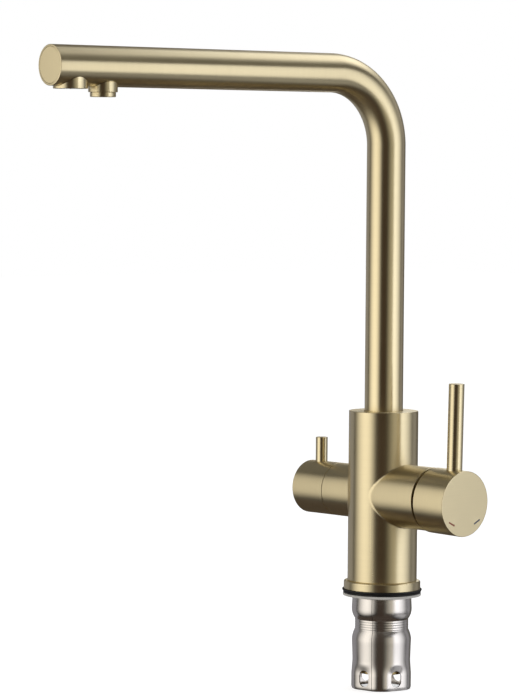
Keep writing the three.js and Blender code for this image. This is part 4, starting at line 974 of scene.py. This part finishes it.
def make_aerator():
    s = spout_sizes()
    brass = MATERIALS["brushed_brass"]
    place = outlet_place(s.aerator_from_tip)
    step = -s.aerator_socket_drop
    seam = -9.4 * MM
    groove = 0.22 * MM
    thread = 7.2 * MM
    turned_piece("aerator_socket", [
        (0, -4 * MM, 0), (s.aerator_radius, -4 * MM, 0), (s.aerator_radius, seam + groove, 0),
        (s.aerator_radius - groove, seam, 0), (s.aerator_radius, seam - groove, 0),
        (s.aerator_radius, step, 0.35 * MM), (thread, step, 0), (thread, step + 4 * MM, 0), (0, step + 4 * MM, 0),
    ], place, brass, "spout", [tube_cutter()])
    rim = -s.aerator_drop
    mouth = 5.15 * MM
    bore = 5.95 * MM
    turned_piece("aerator_housing", [
        (mouth, rim, 0.25 * MM), (s.aerator_sleeve, rim, 0.4 * MM), (s.aerator_sleeve, step - FIT_GAP, 0.2 * MM),
        (6.9 * MM, step - FIT_GAP, 0), (6.9 * MM, step + 3.1 * MM, 0), (bore, step + 3.1 * MM, 0),
        (bore, rim + 0.8 * MM, 0), (mouth, rim + 0.8 * MM, 0), (mouth, rim, 0),
    ], place, brass, "spout")
    make_aerator_grille(place, rim + 1.1 * MM, bore - FIT_GAP)


def make_aerator_grille(place, low, radius):
    """A round moulded grille with square holes, over a solid disc."""
    bm = bmesh.new()
    cells = 15
    bmesh.ops.create_grid(bm, x_segments=cells, y_segments=cells, size=radius)
    outside = [f for f in bm.faces if f.calc_center_median().length > radius - 0.3 * MM]
    bmesh.ops.delete(bm, geom=outside, context="FACES")
    bmesh.ops.inset_individual(bm, faces=bm.faces[:], thickness=0.14 * MM)
    pane = (2 * radius / cells) ** 2 * 0.4
    holes = [f for f in bm.faces if len(f.verts) == 4 and f.calc_area() > pane]
    bmesh.ops.delete(bm, geom=holes, context="FACES")
    bmesh.ops.solidify(bm, geom=bm.faces[:], thickness=0.5 * MM)
    bmesh.ops.recalc_face_normals(bm, faces=bm.faces)
    grille = made("aerator_grille", bm, place @ Matrix.Translation((0, 0, low + 0.5 * MM)))
    finished(grille, MATERIALS["white_plastic"], "spout", ["aerator_insert"])
    backing = turned("aerator_backing", [
        (0, low + 2 * MM, 0), (radius, low + 2 * MM, 0), (radius, low + 5 * MM, 0.3 * MM), (0, low + 5 * MM, 0),
    ], place, SMALL_FACETS)
    finished(backing, MATERIALS["grey_plastic"], "spout")


# ---- Handles ----

def grub_screw(name, radius, tip, head, place, body):
    """A grub screw along Z with a hexagon socket in its outer end."""
    socket = rod(0.5 * radius, head - 0.45 * (head - tip), head + OVERRUN, place, 6)
    piece = turned(name + "_turned", [
        (0, tip, 0), (radius, tip, 0.4 * MM), (radius, head, 0.25 * MM), (0, head, 0),
    ], place, SMALL_FACETS)
    cut(piece, socket)
    finished(piece, MATERIALS["steel"], body, [name])


def lever_corners(radius, foot, top):
    return [(0, foot, 0), (radius, foot, 0), (radius, top, 0.4 * MM), (0, top, 0)]


def mark_bar(name, side, grow, depth, face):
    """A short line with round ends, standing in the cap's face."""
    s = handle_sizes()
    half = s.mark_width / 2 + grow
    straight = (s.mark_length - s.mark_width) / 2
    bm = bmesh.new()
    bmesh.ops.create_circle(bm, cap_ends=True, segments=32, radius=half)
    for vert in bm.verts:
        vert.co.y += math.copysign(straight, vert.co.y)
    grown = bmesh.ops.extrude_face_region(bm, geom=bm.faces[:])["geom"]
    bmesh.ops.translate(bm, verts=[g for g in grown if isinstance(g, bmesh.types.BMVert)], vec=(0, 0, -depth))
    bmesh.ops.recalc_face_normals(bm, faces=bm.faces)
    slope = Matrix.Rotation(side * math.radians(27), 4, "X")
    lie = TO_RIGHT
    spot = Matrix.Translation((face, side * s.mark_spread, BRANCH_HEIGHT - s.mark_drop))
    return made(name, bm, TILTED @ spot @ slope @ lie)


def make_mixer_handle():
    s = handle_sizes()
    brass = MATERIALS["brushed_brass"]
    place = TILTED @ MIXER_SIDE
    hollow = s.cap_start + s.cap_hollow
    inner = s.cap_radius - s.cap_wall
    cap = [
        (0, hollow, 0), (inner, hollow, 0.5 * MM), (inner, s.cap_start, 0.2 * MM),
        (s.cap_radius, s.cap_start, 0.3 * MM), (s.cap_radius, s.cap_end, 0.5 * MM),
        (s.cap_radius - FACE_RIM, s.cap_end, 0), (0, s.cap_end, 0),
    ]
    lever_place = TILTED @ Matrix.Translation((s.lever_reach, 0, BRANCH_HEIGHT))
    screw_place = TILTED @ Matrix.Translation((62.5 * MM, 0, BRANCH_HEIGHT)) @ DOWN
    seat = s.cap_radius - 6 * MM
    cutters = [
        rod(s.lever_radius + FIT_GAP, seat - FIT_GAP, s.cap_radius + OVERRUN, lever_place),
        rod(2.6 * MM, 5 * MM, s.cap_radius + OVERRUN, screw_place),
        rod(5.9 * MM, hollow - OVERRUN, 68 * MM, place),
    ]
    for side in (-1, 1):
        cutters.append(mark_bar("cutter", side, 0.06 * MM, 0.5 * MM, s.cap_end + 0.2 * MM))
    turned_piece("mixer_handle_cap", cap, place, brass, "mixer_handle", cutters)
    turned_piece("mixer_lever_pin", lever_corners(s.lever_radius, seat, s.lever_top), lever_place, brass,
                 "mixer_handle", facets=SMALL_FACETS)
    grub_screw("mixer_grub_screw", 2.4 * MM, 4.1 * MM, 11.1 * MM, screw_place, "mixer_handle")
    for name, side, slot in (("hot_mark", -1, "red_enamel"), ("cold_mark", 1, "blue_enamel")):
        mark = mark_bar(name + "_line", side, 0, 0.28 * MM, s.cap_end - 0.04 * MM)
        finished(mark, MATERIALS[slot], "mixer_handle", [name])


def make_cartridge():
    """The ring nut, the rotor and the square stem that show in the gap when the handle tilts."""
    raw = MATERIALS["raw_brass"]
    start, end = box_span("cartridge_nut", 0)
    outer = box_span("cartridge_nut", 1)[1]
    slots = []
    for i in range(4):
        turn = Matrix.Rotation(math.radians(90 * i), 4, "Z")
        bm = bmesh.new()
        bmesh.ops.create_cube(bm, size=1)
        bmesh.ops.scale(bm, vec=(9 * MM, 4 * MM, 5 * MM), verts=bm.verts)
        bmesh.ops.translate(bm, vec=(outer - 1 * MM, 0, end), verts=bm.verts)
        slots.append(made("cutter", bm, MIXER_SIDE @ turn))
    bore = 12.2 * MM
    turned_piece("cartridge_nut", [
        (bore, start, 0), (outer, start, 0), (outer, end, 0.4 * MM), (bore, end, 0.4 * MM), (bore, start, 0),
    ], MIXER_SIDE, raw, "tap_body", slots)
    rotor = box_span("cartridge_rotor", 1)[1]
    start, end = box_span("cartridge_rotor", 0)
    stem_side = 7.6 * MM
    swing = 2 * 7.9 * MM
    bm = bmesh.new()
    bmesh.ops.create_cube(bm, size=1)
    bmesh.ops.scale(bm, vec=(2 * (end - start), stem_side + 2 * RUNNING_GAP, swing), verts=bm.verts)
    bmesh.ops.translate(bm, vec=(start + (end - start) * 1.3, 0, 0), verts=bm.verts)
    turned_piece("cartridge_rotor", [
        (0, start, 0), (rotor, start, 0), (rotor, end, 0.5 * MM), (0, end, 0),
    ], MIXER_SIDE, MATERIALS["white_plastic"], "mixer_rotor", [made("cutter", bm, AT_BRANCH)])
    low, high = box_span("cartridge_stem", 0)
    bm = bmesh.new()
    bmesh.ops.create_cube(bm, size=1)
    bmesh.ops.scale(bm, vec=(high - low, stem_side, stem_side), verts=bm.verts)
    bmesh.ops.bevel(bm, geom=bm.edges[:], offset=0.5 * MM, offset_type="OFFSET", segments=3, profile=0.5,
                    affect="EDGES", material=-1)
    stem = made("cartridge_stem_bar", bm, TILTED @ Matrix.Translation(((low + high) / 2, 0, BRANCH_HEIGHT)))
    finished(stem, raw, "mixer_handle", ["cartridge_stem"])


def make_filter_handle():
    s = handle_sizes()
    brass = MATERIALS["brushed_brass"]
    radius = body_sizes().filter_branch
    start = -box_span("filter_knob", 0)[1]
    inner = 15.6 * MM
    hollow = start + s.knob_hollow
    knob = [
        (0, hollow, 0), (inner, hollow, 0), (inner, start, 0.1 * MM), (radius, start, 0.25 * MM),
        (radius, s.knob_end, 0.45 * MM), (0, s.knob_end, 0),
    ]
    lever_place = Matrix.Translation((-s.small_lever_reach, 0, BRANCH_HEIGHT))
    screw_place = Matrix.Translation((-54.5 * MM, 0, BRANCH_HEIGHT)) @ DOWN
    seat = radius - 5 * MM
    cutters = [
        rod(s.small_lever_radius + FIT_GAP, seat - FIT_GAP, radius + OVERRUN, lever_place),
        rod(2.2 * MM, 4 * MM, radius + OVERRUN, screw_place),
    ]
    turned_piece("filter_knob", knob, FILTER_SIDE, brass, "filter_handle", cutters)
    turned_piece("filter_lever_pin", lever_corners(s.small_lever_radius, seat, s.small_lever_top), lever_place,
                 brass, "filter_handle", facets=SMALL_FACETS)
    grub_screw("filter_grub_screw", 2 * MM, 3.6 * MM, 10.6 * MM, screw_place, "filter_handle")


# ---- Stage ----

CAMERA_BEARING = 45.318
CAMERA_DISTANCE = 2.13041
CAMERA_HEIGHT = 0.27856
CAMERA_PITCH = 3.272
CAMERA_ROLL = 0.439
CAMERA_TURN = 2.174
CAMERA_LENS = 169.335
CAMERA_SENSOR = 36


def make_camera():
    bearing = math.radians(CAMERA_BEARING)
    yaw = math.radians(CAMERA_BEARING + CAMERA_TURN)
    pitch, roll = math.radians(CAMERA_PITCH), math.radians(CAMERA_ROLL)
    level = Vector((-math.sin(yaw), math.cos(yaw), 0))
    ahead = level * math.cos(pitch) + Vector((0, 0, -math.sin(pitch)))
    right = level.cross(Vector((0, 0, 1)))
    up = right.cross(ahead)
    across = right * math.cos(roll) + up * math.sin(roll)
    above = up * math.cos(roll) - right * math.sin(roll)
    data = bpy.data.cameras.new("camera")
    data.lens = CAMERA_LENS
    data.sensor_width = CAMERA_SENSOR
    camera = bpy.data.objects.new("camera", data)
    bpy.context.scene.collection.objects.link(camera)
    place = Matrix((across, above, -ahead)).transposed().to_4x4()
    place.translation = (CAMERA_DISTANCE * math.sin(bearing), -CAMERA_DISTANCE * math.cos(bearing), CAMERA_HEIGHT)
    camera.matrix_world = place
    bpy.context.scene.camera = camera


def toward(bearing, elevation=0.0):
    """A direction from the tap: bearing in degrees to the right of the camera, elevation above level."""
    turn = math.radians(bearing - 90 + CAMERA_BEARING)
    lift = math.radians(elevation)
    return Vector((math.cos(lift) * math.cos(turn), math.cos(lift) * math.sin(turn), math.sin(lift)))


AIM = Vector((0, -0.06, 0.12))


def lamp_cloth(name, strength, tint, feathers):
    """A soft box's cloth: its light fades over a share of the way in from each of its edges.

    The edges come in the order first bearing, last bearing, low and high.
    """
    m = Nodes(name)
    m.shader.inputs["Base Color"].default_value = (0, 0, 0, 1)
    m.shader.inputs["Specular IOR Level"].default_value = 0
    m.shader.inputs["Emission Color"].default_value = (*tint, 1)
    parts = m.add("SeparateXYZ")
    m.link(m.add("TexCoord").outputs["UV"], parts.inputs["Vector"])
    light = strength
    for axis, low, high in (("X", feathers[0], feathers[1]), ("Y", feathers[2], feathers[3])):
        for start, end in ((0, low), (1, 1 - high)):
            edge = m.add("MapRange", interpolation_type="SMOOTHSTEP")
            edge.inputs["From Min"].default_value = start
            edge.inputs["From Max"].default_value = end
            m.link(parts.outputs[axis], edge.inputs["Value"])
            light = m.math("MULTIPLY", edge.outputs["Result"], light)
    m.link(light, m.shader.inputs["Emission Strength"])
    return m.material


def flag_cloth(name, level):
    """Dull cloth that shows a plain grey wherever it hangs."""
    m = Nodes(name)
    m.shader.inputs["Base Color"].default_value = (0, 0, 0, 1)
    m.shader.inputs["Specular IOR Level"].default_value = 0
    m.shader.inputs["Emission Color"].default_value = (*level, 1)
    m.shader.inputs["Emission Strength"].default_value = 1
    return m.material


def mirrored_only(board):
    """Hangs a board that shows in the metal, and neither shades nor shows to the camera."""
    board.visible_camera = False
    board.visible_diffuse = False
    board.visible_shadow = False
    board.visible_transmission = False


def panel(name, bearings, heights, distance, lift, material):
    """A flat board that faces the tap, between two bearings and two heights above its middle."""
    middle = (bearings[0] + bearings[1]) / 2
    half = distance * math.tan(math.radians((bearings[1] - bearings[0]) / 2))
    bm = bmesh.new()
    bm.loops.layers.uv.new("board")
    bmesh.ops.create_grid(bm, x_segments=1, y_segments=1, size=0.5, calc_uvs=True)
    bmesh.ops.scale(bm, vec=(2 * half, heights[1] - heights[0], 1), verts=bm.verts)
    bmesh.ops.translate(bm, vec=(0, (heights[0] + heights[1]) / 2, 0), verts=bm.verts)
    away = toward(middle, lift)
    place = Matrix.Translation(AIM + away * distance) @ away.to_track_quat("Z", "Y").to_matrix().to_4x4()
    board = made(name, bm, place)
    board.data.materials.append(material)
    return board


def make_walls():
    """Grey cloth round the tap, open at the back to the white backdrop, with a dark floor cloth."""
    bm = bmesh.new()
    start = bm.verts.new(toward(WALL_SPAN[0]) * WALL_RADIUS + Vector((0, 0, WALL_LOW)))
    end = bm.verts.new(start.co + Vector((0, 0, WALL_HIGH - WALL_LOW)))
    edge = bm.edges.new((start, end))
    bmesh.ops.spin(
        bm, geom=[start, end, edge], cent=(0, 0, 0), axis=(0, 0, 1), steps=64,
        angle=math.radians(WALL_SPAN[1] - WALL_SPAN[0]),
    )
    walls = made("grey_walls", bm)
    walls.data.materials.append(flag_cloth("grey_cloth", (0.13, 0.125, 0.115)))
    mirrored_only(walls)
    covers = (("ceiling", WALL_HIGH, (0.16, 0.155, 0.145)), ("floor_cloth", WALL_LOW, (0.07, 0.055, 0.045)))
    for name, height, level in covers:
        bm = bmesh.new()
        bmesh.ops.create_circle(bm, cap_ends=True, segments=64, radius=WALL_RADIUS)
        disc = made(name, bm, Matrix.Translation((0, 0, height)))
        disc.data.materials.append(flag_cloth(name, level))
        mirrored_only(disc)


WALL_RADIUS = 2.3
WALL_LOW = -1.1
WALL_HIGH = 2.0
WALL_SPAN = (-180, 174)


def make_floor():
    """A white ground that keeps the tap's shadow."""
    foot = box_span("sleeve_nut", 2)[0]
    bm = bmesh.new()
    bmesh.ops.create_grid(bm, x_segments=1, y_segments=1, size=6)
    floor = made("floor", bm, Matrix.Translation((0, 0, foot - 0.1 * MM)))
    m = Nodes("floor_white")
    m.shader.inputs["Base Color"].default_value = (0.8, 0.8, 0.8, 1)
    m.shader.inputs["Roughness"].default_value = 0.9
    m.shader.inputs["Specular IOR Level"].default_value = 0
    m.shader.inputs["Emission Color"].default_value = (1, 1, 1, 1)
    path = m.add("LightPath")
    seen = m.math("MAXIMUM", path.outputs["Is Camera Ray"], path.outputs["Is Glossy Ray"])
    seen = m.math("MAXIMUM", seen, path.outputs["Is Transmission Ray"])
    m.link(m.math("MULTIPLY", seen, 0.62), m.shader.inputs["Emission Strength"])
    floor.data.materials.append(m.material)
    floor.visible_glossy = False


def make_world():
    """White where the camera, metal or clear pieces see it, and a plain level of light elsewhere."""
    world = bpy.data.worlds.new("studio")
    bpy.context.scene.world = world
    world.use_nodes = True
    tree = world.node_tree
    path = tree.nodes.new("ShaderNodeLightPath")
    seen = path.outputs["Is Camera Ray"]
    for output in ("Is Glossy Ray", "Is Transmission Ray"):
        both = tree.nodes.new("ShaderNodeMath")
        both.operation = "MAXIMUM"
        tree.links.new(seen, both.inputs[0])
        tree.links.new(path.outputs[output], both.inputs[1])
        seen = both.outputs["Value"]
    level = tree.nodes.new("ShaderNodeMapRange")
    level.inputs["To Min"].default_value = 0.55
    level.inputs["To Max"].default_value = 1
    tree.links.new(seen, level.inputs["Value"])
    background = tree.nodes["Background"]
    background.inputs["Color"].default_value = (1, 1, 1, 1)
    tree.links.new(level.outputs["Result"], background.inputs["Strength"])


def make_stage():
    make_camera()
    make_floor()
    make_world()
    make_walls()
    warm, cool = (1, 0.975, 0.93), (0.98, 1, 1.06)
    left = lamp_cloth("left_cloth", 1.38, warm, (0.54, 0.42, 0.32, 0.34))
    right = lamp_cloth("right_cloth", 1.6, cool, (0.03, 0.74, 0.43, 0.06))
    upper = lamp_cloth("upper_cloth", 1.9, cool, (0.4, 0.3, 0.2, 0.2))
    boxes = (
        panel("left_box", (-116, -19), (-0.8, 1.05), 0.75, 0, left),
        panel("right_box", (42, 120), (-1.4, 0.88), 1.6, 0, right),
        panel("upper_box", (104, 163), (-0.5, 0.55), 1.6, 50, upper),
    )
    for box in boxes:
        box.visible_camera = False
    dark = flag_cloth("dark_cloth", (0.055, 0.04, 0.03))
    mirrored_only(panel("camera_flag", (-22, 12), (-1.2, 1.2), 1.3, 0, dark))
    fill = lamp_cloth("fill_cloth", 0.62, (1.05, 1, 0.86), (0.85, 0.02, 0.2, 0.3))
    mirrored_only(panel("fill_board", (6, 52), (-0.9, 0.8), 1.7, 0, fill))
    grey = flag_cloth("side_cloth", (0.3, 0.3, 0.325))
    mirrored_only(panel("left_wall", (-166, -106), (-1.2, 0.9), 1.9, 0, grey))
    mirrored_only(panel("right_wall", (112, 138), (-1.2, 0.9), 1.9, 0, grey))
    low_fill = lamp_cloth("low_fill_cloth", 0.5, cool, (0.3, 0.3, 0.6, 0.2))
    mirrored_only(panel("low_fill_board", (58, 126), (-0.35, 0.25), 1.2, -36, low_fill))
    bpy.context.scene.view_settings.view_transform = "Standard"


# ---- Operators and panel ----

class TAP_OT_finishes(bpy.types.Operator):
    """Make the tap's finishes"""

    bl_idname = "tap.finishes"
    bl_label = "Finishes"

    def execute(self, context):
        make_materials()
        return {"FINISHED"}


class TAP_OT_body(bpy.types.Operator):
    """Turn the body with its two branches"""

    bl_idname = "tap.body"
    bl_label = "Body"

    def execute(self, context):
        make_body()
        return {"FINISHED"}


class TAP_OT_base(bpy.types.Operator):
    """Make the base ring, the gasket and the clamp washer"""

    bl_idname = "tap.base"
    bl_label = "Base ring and gasket"

    def execute(self, context):
        make_base()
        return {"FINISHED"}


class TAP_OT_fixing(bpy.types.Operator):
    """Make the threaded shank and the sleeve nut"""

    bl_idname = "tap.fixing"
    bl_label = "Shank and nut"

    def execute(self, context):
        make_shank()
        make_nut()
        return {"FINISHED"}


class TAP_OT_spout(bpy.types.Operator):
    """Bend the spout's tube and plug its tip"""

    bl_idname = "tap.spout"
    bl_label = "Spout"

    def execute(self, context):
        make_spout()
        return {"FINISHED"}


class TAP_OT_outlets(bpy.types.Operator):
    """Make the filter outlet and the aerator"""

    bl_idname = "tap.outlets"
    bl_label = "Outlets"

    def execute(self, context):
        make_filter_outlet()
        make_aerator()
        return {"FINISHED"}


class TAP_OT_mixer_handle(bpy.types.Operator):
    """Make the mixer handle and what shows behind it"""

    bl_idname = "tap.mixer_handle"
    bl_label = "Mixer handle"

    def execute(self, context):
        make_mixer_handle()
        make_cartridge()
        return {"FINISHED"}


class TAP_OT_filter_handle(bpy.types.Operator):
    """Make the filter knob, its lever and its screw"""

    bl_idname = "tap.filter_handle"
    bl_label = "Filter handle"

    def execute(self, context):
        make_filter_handle()
        return {"FINISHED"}


class TAP_OT_lock_screw(bpy.types.Operator):
    """Make the screw that holds the spout down"""

    bl_idname = "tap.lock_screw"
    bl_label = "Spout screw"

    def execute(self, context):
        s = body_sizes()
        place = Matrix.Translation((0, 0, s.lock_height)) @ Matrix.Rotation(math.radians(-90), 4, "X")
        grub_screw("spout_retaining_screw", 2.4 * MM, 11.25 * MM, s.radius - OVERRUN, place, "tap_body")
        return {"FINISHED"}


class TAP_OT_inner_finishes(bpy.types.Operator):
    """Give the inner pieces that stay as built their finishes"""

    bl_idname = "tap.inner_finishes"
    bl_label = "Inner pieces"

    def execute(self, context):
        dress_frame_nodes()
        return {"FINISHED"}


class TAP_OT_stage(bpy.types.Operator):
    """Set up the floor, the lights and the camera"""

    bl_idname = "tap.stage"
    bl_label = "Stage"

    def execute(self, context):
        make_stage()
        return {"FINISHED"}


OPERATORS = (
    TAP_OT_finishes, TAP_OT_body, TAP_OT_base, TAP_OT_fixing, TAP_OT_spout, TAP_OT_outlets, TAP_OT_mixer_handle,
    TAP_OT_filter_handle, TAP_OT_lock_screw, TAP_OT_inner_finishes, TAP_OT_stage,
)


class TAP_PT_panel(bpy.types.Panel):
    """Lists the tap's sizes, finishes and making steps"""

    bl_label = "Three way water tap"
    bl_idname = "TAP_PT_panel"
    bl_space_type = "VIEW_3D"
    bl_region_type = "UI"
    bl_category = "Tap"

    def draw(self, context):
        for name in GROUPS:
            group = getattr(context.scene, name)
            box = self.layout.box()
            for key in group.__annotations__:
                box.prop(group, key)
        for operator in OPERATORS:
            self.layout.operator(operator.bl_idname)


GROUPS = {
    "tap_body_sizes": TapBodySizes,
    "tap_spout_sizes": TapSpoutSizes,
    "tap_handle_sizes": TapHandleSizes,
    "tap_finishes": TapFinishes,
}


def register():
    for group in GROUPS.values():
        bpy.utils.register_class(group)
    for operator in OPERATORS:
        bpy.utils.register_class(operator)
    bpy.utils.register_class(TAP_PT_panel)
    for name, group in GROUPS.items():
        setattr(bpy.types.Scene, name, bpy.props.PointerProperty(type=group))


def unregister():
    for name in GROUPS:
        delattr(bpy.types.Scene, name)
    bpy.utils.unregister_class(TAP_PT_panel)
    for operator in reversed(OPERATORS):
        bpy.utils.unregister_class(operator)
    for group in reversed(GROUPS.values()):
        bpy.utils.unregister_class(group)


def main():
    register()
    for operator in OPERATORS:
        step = operator.bl_idname.split(".")[1]
        getattr(bpy.ops.tap, step)()


if __name__ == "__main__":
    main()
